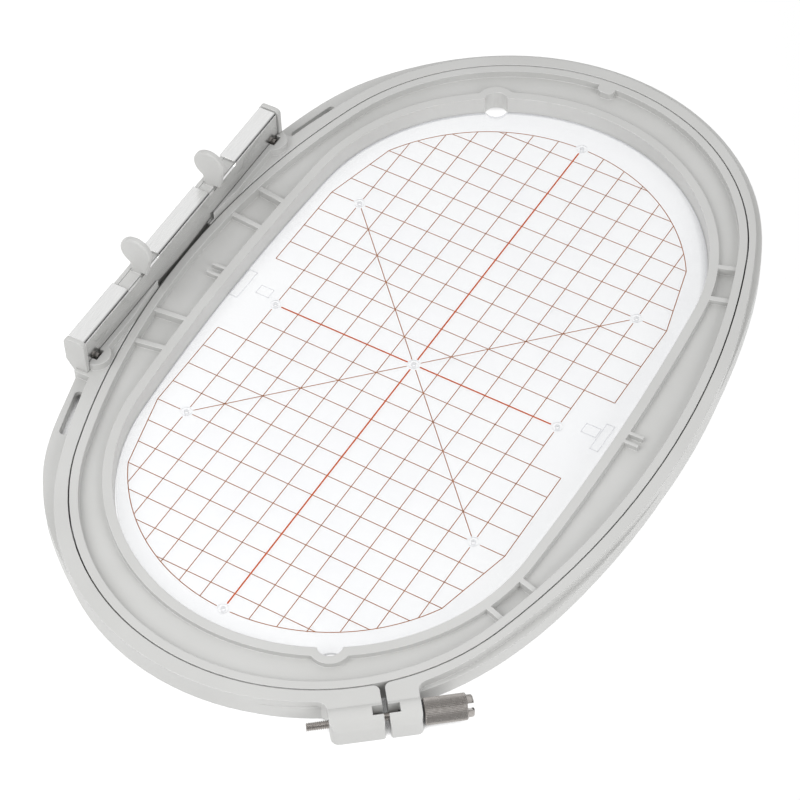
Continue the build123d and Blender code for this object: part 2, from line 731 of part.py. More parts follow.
def make_thumb_knob():
    """Sleeve pressed on the shaft, with two rounded jaws on its end face."""
    sleeve = lug_rod(KNOB_START, KNOB_END, KNOB_RADIUS)
    sleeve = chamfer(sleeve.edges().filter_by(GeomType.CIRCLE), KNOB_CHAMFER)
    jaws = lug_rod(KNOB_END, KNOB_END + JAW_LENGTH, JAW_RADIUS)
    rim = jaws.edges().filter_by(GeomType.CIRCLE).sort_by(Axis.X)[-1]
    jaws = fillet(rim, JAW_ROUNDING)
    slot = block(
        (KNOB_END, KNOB_END + JAW_LENGTH + OVERRUN),
        (-2 * JAW_RADIUS, 2 * JAW_RADIUS),
        (-JAW_SLOT / 2, JAW_SLOT / 2),
    )
    jaws -= lug_plane * Pos(0, -SCREW_AXIS_V, SCREW_AXIS_Z) * Rot(-JAW_TURN, 0, 0) * slot
    bore = lug_rod(KNOB_START - OVERRUN, KNOB_END + JAW_LENGTH + OVERRUN, SCREW_RADIUS)
    return sleeve + jaws - bore


def make_knob_washer():
    """Dark washer between the right lug and the knob."""
    end = WASHER_START + WASHER_THICKNESS
    disc = lug_rod(WASHER_START, end, WASHER_RADIUS)
    return disc - lug_rod(WASHER_START - OVERRUN, end + OVERRUN, SCREW_RADIUS + SCREW_CLEARANCE)


def make_screw_clip():
    """Open retaining ring in the shaft's groove, behind the right lug's window wall."""
    start = LUG_WINDOW_RIGHT - CLIP_GAP - CLIP_THICKNESS
    end = start + CLIP_THICKNESS
    ring = lug_rod(start, end, CLIP_RADIUS)
    ring -= lug_rod(start - OVERRUN, end + OVERRUN, SCREW_RADIUS - GROOVE_DEPTH)
    mouth = lug_block(
        (start - OVERRUN, end + OVERRUN),
        (SCREW_AXIS_V - GROOVE_DEPTH, SCREW_AXIS_V + GROOVE_DEPTH),
        (SCREW_AXIS_Z - CLIP_RADIUS - OVERRUN, SCREW_AXIS_Z),
    )
    return ring - mouth


def make_tension_nut():
    """Square nut held in the left lug."""
    half = NUT_SIDE / 2
    end = NUT_START + NUT_THICKNESS
    nut = lug_block(
        (NUT_START, end),
        (SCREW_AXIS_V - half, SCREW_AXIS_V + half),
        (SCREW_AXIS_Z - half, SCREW_AXIS_Z + half),
    )
    return nut - lug_rod(NUT_START - OVERRUN, end + OVERRUN, SCREW_RADIUS + SCREW_CLEARANCE)


# Bracket
def cap_face():
    """Profile of an end cap, looking along Y."""
    outline = Polyline(
        (CAP_OUTER_X, CAP_TAPER_Z),
        (CAP_OUTER_X, CAP_TOP),
        (CAP_FACE_X, CAP_TOP),
        (CAP_FACE_X, HOUSING_BASE),
        (BRACKET_EDGE_X, HOUSING_BASE),
        close=True,
    )
    face = make_face(outline)
    tops = face.vertices().sort_by(Axis.Y)[-2:]
    left, right = tops.sort_by(Axis.X)
    face = fillet(left, CAP_CORNER)
    right = min(face.vertices(), key=lambda vertex: (Vector(*vertex) - Vector(*right)).length)
    return fillet(right, CAP_BEND_CORNER)


def make_cap(y):
    """An end cap, standing from y towards +Y."""
    upright = Plane(origin=(0, y, 0), x_dir=(1, 0, 0), z_dir=(0, -1, 0))
    return extrude(upright * cap_face(), -CAP)


def make_bracket_housing():
    """Moulded housing: floor, outer wall, end blocks with pin sockets, stop and caps."""
    front, rear = HOUSING_FRONT + CAP, HOUSING_REAR - CAP
    inner_x = STEEL_BACK_X - SLIDE_CLEARANCE
    body = block((HOUSING_OUTER_X, inner_x), (front, rear), (HOUSING_BASE, PLATE_UNDERSIDE))
    floor_edge = STEEL_FACE_X - SLIDE_CLEARANCE
    body += block((inner_x, floor_edge), (front, rear), (HOUSING_BASE, CAVITY_FLOOR))
    body += make_cap(HOUSING_FRONT) + make_cap(rear)
    cavity_limits = [(CAVITY_FRONT, STOP_FRONT), (STOP_REAR, CAVITY_REAR)]
    for limits in cavity_limits:
        body -= block((CAVITY_OUTER_X, STEEL_BACK_X), limits, (CAVITY_FLOOR, PLATE_UNDERSIDE + OVERRUN))
    body -= make_latch_chambers()
    for y in (FRONT_ARM_PIN_Y, REAR_ARM_PIN_Y):
        base = (ARM_PIN_X, y, HOUSING_BASE - OVERRUN)
        body -= rod(base, (ARM_PIN_X, y, SOCKET_TOP + OVERRUN / 2), SOCKET_RADIUS)
    for y in HOUSING_SCREW_YS:
        base = (HOUSING_SCREW_X, y, HOUSING_BASE - OVERRUN)
        top = (HOUSING_SCREW_X, y, HOUSING_SCREW_RECESS + HOUSING_SCREW_LENGTH + SLIDE_CLEARANCE)
        body -= rod(base, top, HOUSING_SCREW_RADIUS)
    for y in (FRONT_PAD_Y, REAR_PAD_Y):
        body -= rivet_shank(y)
    body -= rod((ROD_X, STOP_FRONT - OVERRUN, ROD_Z), (ROD_X, STOP_REAR + OVERRUN, ROD_Z), ROD_RADIUS)
    return body


def make_latch_chambers():
    """Chambers above the pin sockets, where the latch forks slide."""
    half = FORK_WIDTH / 2 + SLIDE_CLEARANCE
    past = SOCKET_RADIUS + SOCKET_RELIEF
    across = (ARM_PIN_X - half, ARM_PIN_X + half)
    levels = (SOCKET_TOP, SOCKET_TOP + LATCH_CHAMBER)
    front = block(across, (FRONT_ARM_PIN_Y - past, CAVITY_FRONT + OVERRUN), levels)
    rear = block(across, (CAVITY_REAR - OVERRUN, REAR_ARM_PIN_Y + past), levels)
    return [front, rear]


def make_bracket_channel():
    """Folded steel channel: upright leg, bend and three top plates."""
    base = CAVITY_FLOOR + SLIDE_CLEARANCE
    section = make_face(
        Polyline(
            (HOUSING_OUTER_X, PLATE_UNDERSIDE),
            (STEEL_BACK_X, PLATE_UNDERSIDE),
            (STEEL_BACK_X, base),
            (STEEL_FACE_X, base),
            (STEEL_FACE_X, CHANNEL_TOP),
            (HOUSING_OUTER_X, CHANNEL_TOP),
            close=True,
        )
    )
    bend = min(
        section.vertices(),
        key=lambda vertex: (Vector(*vertex) - Vector(STEEL_FACE_X, CHANNEL_TOP)).length,
    )
    section = fillet(bend, SHEET_BEND)
    upright = Plane(origin=(0, CHANNEL_FRONT, 0), x_dir=(1, 0, 0), z_dir=(0, -1, 0))
    body = extrude(upright * section, CHANNEL_FRONT - CHANNEL_REAR)
    for limits in (FRONT_OPENING, REAR_OPENING):
        body -= block(
            (HOUSING_OUTER_X - OVERRUN, STEEL_FACE_X + OVERRUN),
            limits,
            (PLATE_UNDERSIDE - OPENING_LEDGE, CHANNEL_TOP + OVERRUN),
        )
    half_length, half_height = CHANNEL_WINDOW_LENGTH / 2, CHANNEL_WINDOW_HEIGHT / 2
    for y in (FRONT_PAD_Y, REAR_PAD_Y):
        body -= block(
            (STEEL_BACK_X - OVERRUN, STEEL_FACE_X + OVERRUN),
            (y - half_length, y + half_length),
            (CHANNEL_WINDOW_Z - half_height, CHANNEL_WINDOW_Z + half_height),
        )
    return body


def rivet_shank(y):
    """The part of a rivet that sits in the housing."""
    inner_x = STEEL_BACK_X - SLIDE_CLEARANCE
    start = (inner_x - RIVET_SHANK, y, CHANNEL_WINDOW_Z)
    return rod(start, (inner_x, y, CHANNEL_WINDOW_Z), RIVET_SHANK_RADIUS)


def make_channel_rivets():
    """Two rivets set in the housing's end blocks."""
    inner_x = STEEL_BACK_X - SLIDE_CLEARANCE
    rivets = []
    for y in (FRONT_PAD_Y, REAR_PAD_Y):
        tip = (inner_x + RIVET_HEAD, y, CHANNEL_WINDOW_Z)
        head = rod((inner_x, y, CHANNEL_WINDOW_Z), tip, RIVET_HEAD_RADIUS)
        rivets.append(rivet_shank(y) + head)
    return rivets


def make_housing_screws():
    """Four screws up through the flange into the housing."""
    screws = []
    for y in HOUSING_SCREW_YS:
        bottom = HOUSING_SCREW_RECESS
        start = (HOUSING_SCREW_X, y, bottom)
        head_end = (HOUSING_SCREW_X, y, bottom + HOUSING_SCREW_HEAD)
        head = rod(start, head_end, HOUSING_SCREW_HEAD_RADIUS)
        tip = (HOUSING_SCREW_X, y, bottom + HOUSING_SCREW_LENGTH)
        shank = rod(start, tip, HOUSING_SCREW_RADIUS)
        reach = HOUSING_SCREW_HEAD_RADIUS + OVERRUN
        slot = block(
            (HOUSING_SCREW_X - reach, HOUSING_SCREW_X + reach),
            (y - HOUSING_SCREW_SLOT / 2, y + HOUSING_SCREW_SLOT / 2),
            (bottom - OVERRUN, bottom + HOUSING_SCREW_SLOT),
        )
        screws.append(head + shank - slot)
    return screws


# Latches
def tab_face():
    """Thumb tab, looking along Y: a disc on a neck."""
    low = CHANNEL_TOP - SHEET + TAB_OVERHANG_GAP
    neck = make_face(
        Polyline(
            (TAB_NECK_LEFT, low),
            (TAB_NECK_RIGHT, low),
            (TAB_CENTRE_X + TAB_RADIUS, TAB_CENTRE_Z),
            (TAB_NECK_LEFT, TAB_CENTRE_Z),
            close=True,
        )
    )
    face = neck + Pos(TAB_CENTRE_X, TAB_CENTRE_Z) * Circle(TAB_RADIUS)
    concave = min(
        (vertex for vertex in face.vertices() if vertex.X < TAB_CENTRE_X and vertex.Y > low + TAB_EDGE),
        key=lambda vertex: vertex.Y,
    )
    return fillet(concave, TAB_NECK_BLEND)


def make_slide(tab_y, inner_y, outer_y, sign):
    """A latch slide with its thumb tab. The sign is the way from the centre stop outward."""
    body = block((SLIDE_OUTER_X, SLIDE_INNER_X), (inner_y, outer_y), (SLIDE_BASE, SLIDE_TOP))
    upright = Plane(origin=(0, tab_y + TAB_THICKNESS / 2, 0), x_dir=(1, 0, 0), z_dir=(0, -1, 0))
    tab = extrude(upright * tab_face(), TAB_THICKNESS)
    rims = tab.faces().filter_by(Axis.Y).edges()
    tab = fillet(rims, TAB_EDGE)
    root = block(
        (TAB_NECK_LEFT + TAB_EDGE, SLIDE_INNER_X),
        (tab_y - TAB_THICKNESS / 2, tab_y + TAB_THICKNESS / 2),
        (SLIDE_TOP, TAB_CENTRE_Z - TAB_RADIUS),
    )
    body += [tab, root]
    hole_end = inner_y + sign * ROD_HOLE_DEPTH
    body -= rod((ROD_X, inner_y - sign * OVERRUN, ROD_Z), (ROD_X, hole_end, ROD_Z), ROD_RADIUS + ROD_CLEARANCE)
    fork_root = outer_y - sign * (FORK_ROOT + FORK_CLEARANCE)
    inner_side = ARM_PIN_X + FORK_WIDTH / 2 + FORK_CLEARANCE
    levels = fork_levels()
    body -= block(
        (SLIDE_OUTER_X - OVERRUN, inner_side),
        (fork_root, outer_y + sign * OVERRUN),
        (levels[0] - FORK_CLEARANCE, levels[1] + FORK_CLEARANCE),
    )
    return body


def fork_levels():
    """Underside and top of a latch fork."""
    base = SOCKET_TOP + FORK_LIFT
    return (base, base + FORK_THICKNESS)


def make_fork(pin_y, outer_y, sign):
    """A steel fork from the slide to the neck of an arm pin."""
    root = outer_y - sign * FORK_ROOT
    tip = pin_y + sign * FORK_REACH
    half = FORK_WIDTH / 2
    plate = block((ARM_PIN_X - half, ARM_PIN_X + half), (root, tip), fork_levels())
    notch_end = pin_y - sign * (FORK_NOTCH / 2)
    notch = block(
        (ARM_PIN_X - FORK_NOTCH / 2, ARM_PIN_X + FORK_NOTCH / 2),
        (pin_y, tip + sign * OVERRUN),
        fork_levels(),
    )
    bottom = Pos(ARM_PIN_X, pin_y, fork_levels()[0])
    round_end = bottom * Cylinder(FORK_NOTCH / 2, FORK_THICKNESS, align=(Align.CENTER, Align.CENTER, Align.MIN))
    return plate - notch - round_end


def make_spring(start_y, end_y):
    """A return spring about the guide rod, as the sleeve that its coils fill."""
    outer = rod((ROD_X, start_y, ROD_Z), (ROD_X, end_y, ROD_Z), SPRING_RADIUS)
    bore = rod((ROD_X, start_y - OVERRUN, ROD_Z), (ROD_X, end_y + OVERRUN, ROD_Z), SPRING_RADIUS - SPRING_WIRE)
    return outer - bore


def make_guide_rod():
    """Rod through the centre stop, reaching into both slides."""
    front = (ROD_X, FRONT_SLIDE_INNER - ROD_OVERLAP, ROD_Z)
    rear = (ROD_X, REAR_SLIDE_INNER + ROD_OVERLAP, ROD_Z)
    return rod(front, rear, ROD_RADIUS)


# Template
def template_marks():
    """Centres of the small bosses, on the print's own axes."""
    side = WINDOW_HALF_WIDTH - MARK_SIDE_MARGIN - WINDOW_DRAFT - TEMPLATE_CLEARANCE
    end = WINDOW_HALF_LENGTH - MARK_END_MARGIN - WINDOW_DRAFT - TEMPLATE_CLEARANCE
    marks = [(x * side, y * MARK_PITCH) for x in (-1, 1) for y in (-1, 0, 1)]
    marks += [(0, 0), (0, end), (0, -end)]
    return marks


def make_grid_template():
    """Clear sheet that lies in the window, with raised bosses round its marking holes."""
    sheet = extrude(window.face(-WINDOW_DRAFT - TEMPLATE_CLEARANCE), TEMPLATE_THICKNESS)
    frame = Pos(TEMPLATE_X, TEMPLATE_Y) * Rot(0, 0, TEMPLATE_TURN)
    low = (Align.CENTER, Align.CENTER, Align.MIN)
    for x, y in template_marks():
        boss_height = TEMPLATE_THICKNESS + MARK_BOSS_HEIGHT
        sheet += frame * Pos(x, y) * Cylinder(MARK_BOSS_RADIUS, boss_height, align=low)
    for x, y in template_marks():
        hole_height = TEMPLATE_THICKNESS + 2 * OVERRUN
        sheet -= frame * Pos(x, y, -OVERRUN) * Cylinder(MARK_HOLE_RADIUS, hole_height, align=low)
    for angle in NOTCH_ANGLES:
        place = Pos(*window.point(angle, SCALLOP_OFFSET), -OVERRUN)
        sheet -= extrude(place * Circle(NOTCH_RADIUS), TEMPLATE_THICKNESS + 2 * OVERRUN)
    return sheet


def make_nodes():
    """Every separate piece, by the name of its node."""
    front_spring = (FRONT_SLIDE_INNER + SPRING_GAP, STOP_FRONT - SPRING_GAP)
    rear_spring = (STOP_REAR + SPRING_GAP, REAR_SLIDE_INNER - SPRING_GAP)
    return {
        "outer_ring": make_outer_ring(),
        "inner_ring": make_inner_ring(),
        "grid_template": make_grid_template(),
        "tension_screw": make_tension_screw(),
        "thumb_knob": make_thumb_knob(),
        "knob_washer": make_knob_washer(),
        "screw_clip": make_screw_clip(),
        "tension_nut": make_tension_nut(),
        "bracket_housing": make_bracket_housing(),
        "bracket_channel": make_bracket_channel(),
        "channel_rivets": make_channel_rivets(),
        "housing_screws": make_housing_screws(),
        "latch_front": make_slide(FRONT_TAB_Y, FRONT_SLIDE_INNER, FRONT_SLIDE_OUTER, -1),
        "latch_rear": make_slide(REAR_TAB_Y, REAR_SLIDE_INNER, REAR_SLIDE_OUTER, 1),
        "latch_plate_front": make_fork(FRONT_ARM_PIN_Y, FRONT_SLIDE_OUTER, -1),
        "latch_plate_rear": make_fork(REAR_ARM_PIN_Y, REAR_SLIDE_OUTER, 1),
        "latch_spring_front": make_spring(*front_spring),
        "latch_spring_rear": make_spring(*rear_spring),
        "guide_rod": make_guide_rod(),
    }


def solids_of(piece):
    """The solids of a piece or of a list of pieces."""
    pieces = piece if isinstance(piece, list) else [piece]
    return [solid for item in pieces for solid in item.solids()]


def main():
    """Build every piece, set the origin at the middle of the base and write the files."""
    os.makedirs("parts", exist_ok=True)
    nodes = {name: solids_of(piece) for name, piece in make_nodes().items()}
    box = Compound([solid for solids in nodes.values() for solid in solids]).bounding_box()
    centre = box.center()
    shift = Location((-centre.X, -centre.Y, -box.min.Z))
    for name, solids in nodes.items():
        moved = [solid.moved(shift) for solid in solids]
        shape = moved[0] if len(moved) == 1 else Compound(moved)
        export_step(shape, f"parts/{name}.step")
    print("origin at", round(centre.X, 4), round(centre.Y, 4), round(box.min.Z, 4))
    print("size", box.size)


main()
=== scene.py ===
import json
import logging
import math
from dataclasses import dataclass, field
from enum import Enum

import bmesh
import bpy
from mathutils import Matrix, Vector


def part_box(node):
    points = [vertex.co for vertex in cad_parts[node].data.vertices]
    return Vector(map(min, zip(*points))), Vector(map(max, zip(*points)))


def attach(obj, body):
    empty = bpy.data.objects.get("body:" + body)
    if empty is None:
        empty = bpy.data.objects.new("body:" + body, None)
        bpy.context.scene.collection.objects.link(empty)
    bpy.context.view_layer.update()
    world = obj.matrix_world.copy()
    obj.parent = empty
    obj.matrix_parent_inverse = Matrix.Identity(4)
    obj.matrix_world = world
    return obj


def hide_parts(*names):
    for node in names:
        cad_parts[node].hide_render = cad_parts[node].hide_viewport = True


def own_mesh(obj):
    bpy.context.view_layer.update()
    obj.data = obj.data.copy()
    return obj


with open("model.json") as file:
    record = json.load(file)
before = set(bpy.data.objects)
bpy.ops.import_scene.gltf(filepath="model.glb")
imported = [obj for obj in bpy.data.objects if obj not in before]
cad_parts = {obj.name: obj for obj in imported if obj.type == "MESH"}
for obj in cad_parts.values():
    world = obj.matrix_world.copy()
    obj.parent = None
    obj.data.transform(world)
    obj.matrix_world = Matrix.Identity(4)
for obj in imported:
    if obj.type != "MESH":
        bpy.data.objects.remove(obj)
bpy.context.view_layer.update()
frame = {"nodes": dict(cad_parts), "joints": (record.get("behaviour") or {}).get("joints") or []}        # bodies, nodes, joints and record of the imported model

log = logging.getLogger("embroidery_hoop")
# Lengths are in metres, and this is a millimetre.
MM = 0.001
UP = Vector((0.0, 0.0, 1.0))
# Edges sharper than this stay sharp on smoothly shaded pieces.
SHARP_ANGLE = math.radians(35.0)
# Vertices closer than this are merged.
WELD = 0.0001 * MM
# A cut takes vertices closer than this as lying on its plane.
CUT_SLACK = 0.00001 * MM
# Places closer than this count as the same.
HAIR = 0.001 * MM
Colour = tuple[float, float, float]
Point = tuple[float, float, float]
Pair = tuple[float, float]
Element = bmesh.types.BMVert | bmesh.types.BMEdge | bmesh.types.BMFace


class Body(Enum):
    """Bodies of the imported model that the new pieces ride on."""

    HOOP = "hoop"
    TEMPLATE = "template"
    SCREW = "screw"


class Slot(Enum):
    """Material slots of the record that the new pieces take."""

    CLEAR_SHEET = "clear_sheet"
    NICKEL = "nickel"


class Graph:
    """Node tree of one material under construction."""

    BEVEL_SAMPLES: int = 6
    # Most of a noise pattern lies between these values.
    NOISE_LOW: float = 0.3
    NOISE_HIGH: float = 0.7
    # Cosines of a face's angle to its rounded edge, where the painted edge highlight starts and where it is
    # full.
    EDGE_COSINES: Pair = (0.995, 0.8)
    # A face is upright up to the first of these sizes of its normal's Z, and level from the second on.
    LEVEL_SHARES: Pair = (0.2, 0.9)
    # The Mix node's sockets go by place, because their names repeat for numbers and for colours.
    MIX_FACTOR: int = 0
    MIX_VALUES: tuple[int, int] = (2, 3)
    MIX_VALUE: int = 0
    MIX_COLOURS: tuple[int, int] = (6, 7)
    MIX_COLOUR: int = 2

    def __init__(self, name: str) -> None:
        """Start a material with a Principled shader.

        Args:
            name: Name of the material.
        """
        self.material = bpy.data.materials.new(name)
        self.material.use_nodes = True
        self.tree = self.material.node_tree
        self.tree.nodes.clear()
        output = self.add("ShaderNodeOutputMaterial")
        self.shader = self.add("ShaderNodeBsdfPrincipled")
        self.join(self.shader.outputs["BSDF"], output.inputs["Surface"])
        self.place = self.add("ShaderNodeTexCoord").outputs["Object"]

    def add(self, kind: str) -> bpy.types.Node:
        """Add a node of one of Blender's types."""
        return self.tree.nodes.new(kind)

    def join(self, source: bpy.types.NodeSocket, target: bpy.types.NodeSocket) -> None:
        """Link an output to an input."""
        self.tree.links.new(source, target)

    def fix(self, name: str, value: float | tuple[float, ...]) -> None:
        """Give an input of the shader a fixed value."""
        self.shader.inputs[name].default_value = value

    def paint(self, colour: bpy.types.NodeSocket) -> None:
        """Give the shader its colour."""
        self.join(colour, self.shader.inputs["Base Color"])

    def roughen(self, pattern: bpy.types.NodeSocket, low: float, high: float) -> None:
        """Spread the shader's roughness over a range with a noise pattern."""
        self.join(self.spread(pattern, low, high), self.shader.inputs["Roughness"])

    def stretched(self, scale: Point) -> bpy.types.NodeSocket:
        """Object coordinates, scaled along each axis.

        Args:
            scale: Factor along X, Y and Z.

        Returns:
            The coordinates' output.
        """
        mapping = self.add("ShaderNodeMapping")
        mapping.inputs["Scale"].default_value = scale
        self.join(self.place, mapping.inputs["Vector"])
        return mapping.outputs["Vector"]

    def noise(self, size: float, detail: float,
              place: bpy.types.NodeSocket | None = None) -> bpy.types.NodeSocket:
        """A noise pattern.

        Args:
            size: Rough size of its features, in metres, or in units of the given coordinates.
            detail: Octaves of finer noise.
            place: Coordinates, or None for the object's own.

        Returns:
            The pattern's value.
        """
        pattern = self.add("ShaderNodeTexNoise")
        pattern.inputs["Scale"].default_value = 1.0 / size
        pattern.inputs["Detail"].default_value = detail
        self.join(place or self.place, pattern.inputs["Vector"])
        return pattern.outputs["Fac"]

    def spread(self, value: bpy.types.NodeSocket, low: float, high: float, start: float = NOISE_LOW,
               stop: float = NOISE_HIGH) -> bpy.types.NodeSocket:
        """Map a value to a range.

        Args:
            value: The value to map.
            low: Result at start.
            high: Result at stop.
            start: Value that gives low.
            stop: Value that gives high.

        Returns:
            The mapped value.
        """
        node = self.add("ShaderNodeMapRange")
        node.inputs["From Min"].default_value = start
        node.inputs["From Max"].default_value = stop
        node.inputs["To Min"].default_value = low
        node.inputs["To Max"].default_value = high
        self.join(value, node.inputs["Value"])
        return node.outputs["Result"]

    def math(self, operation: str, value: bpy.types.NodeSocket,
             other: float | bpy.types.NodeSocket = 0.0) -> bpy.types.NodeSocket:
        """Calculate with one or two values.

        Args:
            operation: Blender's name of the operation.
            value: First value.
            other: Second value, a number or an output.

        Returns:
            The result.
        """
        node = self.add("ShaderNodeMath")
        node.operation = operation
        self.join(value, node.inputs[0])
        if isinstance(other, float):
            node.inputs[1].default_value = other
        else:
            self.join(other, node.inputs[1])
        return node.outputs[0]

    def blend(self, factor: bpy.types.NodeSocket, first: bpy.types.NodeSocket,
              second: bpy.types.NodeSocket) -> bpy.types.NodeSocket:
        """Mix two values.

        Args:
            factor: Share of the second value.
            first: First value.
            second: Second value.

        Returns:
            The mixed value.
        """
        node = self.add("ShaderNodeMix")
        self.join(factor, node.inputs[self.MIX_FACTOR])
        for place, value in zip(self.MIX_VALUES, (first, second)):
            self.join(value, node.inputs[place])
        return node.outputs[self.MIX_VALUE]

    def mixed(self, factor: bpy.types.NodeSocket, first: Colour | bpy.types.NodeSocket,
              second: Colour) -> bpy.types.NodeSocket:
        """Mix two colours.

        Args:
            factor: Share of the second colour.
            first: First colour, or an output that gives it.
            second: Second colour.

        Returns:
            The mixed colour.
        """
        node = self.add("ShaderNodeMix")
        node.data_type = "RGBA"
        first_place, second_place = self.MIX_COLOURS
        self.join(factor, node.inputs[self.MIX_FACTOR])
        if isinstance(first, tuple):
            node.inputs[first_place].default_value = (*first, 1.0)
        else:
            self.join(first, node.inputs[first_place])
        node.inputs[second_place].default_value = (*second, 1.0)
        return node.outputs[self.MIX_COLOUR]

    def clouded(self, pattern: bpy.types.NodeSocket, first: Colour, second: Colour) -> bpy.types.NodeSocket:
        """Colour that wanders between two colours with a noise pattern."""
        return self.mixed(self.spread(pattern, 0.0, 1.0), first, second)

    def rounded(self, radius: float) -> bpy.types.NodeSocket:
        """Normals as if each edge were rounded.

        Args:
            radius: Radius of the rounding in metres.

        Returns:
            The normal's output.
        """
        node = self.add("ShaderNodeBevel")
        node.samples = self.BEVEL_SAMPLES
        node.inputs["Radius"].default_value = radius
        return node.outputs["Normal"]

    def highlight_edge_mask(self, normal: bpy.types.NodeSocket) -> bpy.types.NodeSocket:
        """Where rounded edges are, which get a painted highlight.

        Args:
            normal: Normals from rounded.

        Returns:
            A value that is 0 on flats and rises on edges.
        """
        true_normal = self.add("ShaderNodeNewGeometry").outputs["Normal"]
        dot = self.add("ShaderNodeVectorMath")
        dot.operation = "DOT_PRODUCT"
        self.join(true_normal, dot.inputs[0])
        self.join(normal, dot.inputs[1])
        return self.spread(dot.outputs["Value"], 0.0, 1.0, *self.EDGE_COSINES)

    def uprightness(self) -> bpy.types.NodeSocket:
        """How steep the surface is.

        Returns:
            A value that is 0 on level faces and 1 on upright ones.
        """
        parts = self.add("ShaderNodeSeparateXYZ")
        self.join(self.add("ShaderNodeNewGeometry").outputs["Normal"], parts.inputs[0])
        level = self.math("ABSOLUTE", parts.outputs["Z"])
        return self.spread(level, 1.0, 0.0, *self.LEVEL_SHARES)

    def relief(self, height: bpy.types.NodeSocket, depth: float,
               normal: bpy.types.NodeSocket | None = None) -> None:
        """Give the shader a bump.

        Args:
            height: The height, from 0 to 1.
            depth: Depth of a full step, in metres.
            normal: Normals that the bump adds to.
        """
        node = self.add("ShaderNodeBump")
        node.inputs["Strength"].default_value = 1.0
        node.inputs["Distance"].default_value = depth
        self.join(height, node.inputs["Height"])
        if normal:
            self.join(normal, node.inputs["Normal"])
        self.join(node.outputs["Normal"], self.shader.inputs["Normal"])


@dataclass(frozen=True)
class MouldedPlastic:
    """Satin grey plastic with a fine moulding grain, softly rounded edges and a painted highlight along them.
    """

    name: str = "satin_grey_plastic"
    colour: Colour = (0.560, 0.560, 0.548)
    light_colour: Colour = (0.600, 0.600, 0.590)
    # Painted highlight: rounded edges are lightened towards this colour.
    edge_highlight_colour: Colour = (0.78, 0.78, 0.77)
    roughness: float = 0.42
    roughness_spread: float = 0.07
    refraction: float = 1.5
    cloud: float = 35.0 * MM
    cloud_detail: float = 3.0
    grain: float = 0.35 * MM
    grain_detail: float = 3.0
    grain_depth: float = 0.0025 * MM
    speckle_share: float = 4.0
    speckle_detail: float = 4.0
    edge_radius: float = 0.55 * MM

    def material(self) -> bpy.types.Material:
        """Build the material.

        Returns:
            The new material.
        """
        graph = Graph(self.name)
        cloud = graph.noise(self.cloud, self.cloud_detail)
        colour = graph.clouded(cloud, self.colour, self.light_colour)
        soft = graph.rounded(self.edge_radius)
        # Paints a lighter highlight along the rounded edges.
        graph.paint(graph.mixed(graph.highlight_edge_mask(soft), colour, self.edge_highlight_colour))
        speckle = graph.noise(self.grain * self.speckle_share, self.speckle_detail)
        graph.roughen(speckle, self.roughness - self.roughness_spread, self.roughness + self.roughness_spread)
        graph.relief(graph.noise(self.grain, self.grain_detail), self.grain_depth, soft)
        graph.fix("IOR", self.refraction)
        return graph.material


@dataclass(frozen=True)
class ClearSheet:
    """Clear moulded sheet, slightly milky, with a faint flow ripple and painted shade on its upright sides.
    """

    name: str = "clear_moulded_sheet"
    colour: Colour = (0.78, 0.79, 0.82)
    milk_colour: Colour = (0.82, 0.83, 0.85)
    # Painted shade: upright sides are darkened towards this colour and made less clear by side_alpha.
    side_shade_colour: Colour = (0.62, 0.63, 0.65)
    alpha: float = 0.29
    side_alpha: float = 0.62
    roughness: float = 0.12
    roughness_shares: Pair = (0.7, 1.3)
    refraction: float = 1.49
    ripple: float = 30.0 * MM
    ripple_detail: float = 2.0
    ripple_depth: float = 0.03 * MM

    def material(self) -> bpy.types.Material:
        """Build the material.

        Returns:
            The new material.
        """
        graph = Graph(self.name)
        ripple = graph.noise(self.ripple, self.ripple_detail)
        colour = graph.clouded(ripple, self.colour, self.milk_colour)
        upright = graph.uprightness()
        # Paints shade on the upright sides.
        graph.paint(graph.mixed(upright, colour, self.side_shade_colour))
        low, high = self.roughness_shares
        graph.roughen(ripple, self.roughness * low, self.roughness * high)
        alpha = graph.spread(upright, self.alpha, self.side_alpha, 0.0, 1.0)
        graph.join(alpha, graph.shader.inputs["Alpha"])
        graph.fix("IOR", self.refraction)
        graph.relief(ripple, self.ripple_depth)
        return graph.material


@dataclass(frozen=True)
class BrushedSteel:
    """Stainless sheet with fine brush lines along its length."""

    name: str = "brushed_stainless"
    colour: Colour = (0.78, 0.78, 0.775)
    light_colour: Colour = (0.88, 0.88, 0.875)
    roughness: float = 0.20
    smoother: float = 0.05
    rougher: float = 0.08
    line: float = 0.14 * MM
    line_detail: float = 3.0
    line_stretch: float = 40.0
    line_depth: float = 0.0012 * MM
    edge_radius: float = 0.25 * MM

    def material(self) -> bpy.types.Material:
        """Build the material.

        Returns:
            The new material.
        """
        graph = Graph(self.name)
        along = graph.stretched((1.0, 1.0 / self.line_stretch, 1.0))
        lines = graph.noise(self.line, self.line_detail, along)
        graph.paint(graph.clouded(lines, self.colour, self.light_colour))
        graph.roughen(lines, self.roughness - self.smoother, self.roughness + self.rougher)
        graph.fix("Metallic", 1.0)
        graph.relief(lines, self.line_depth, graph.rounded(self.edge_radius))
        return graph.material


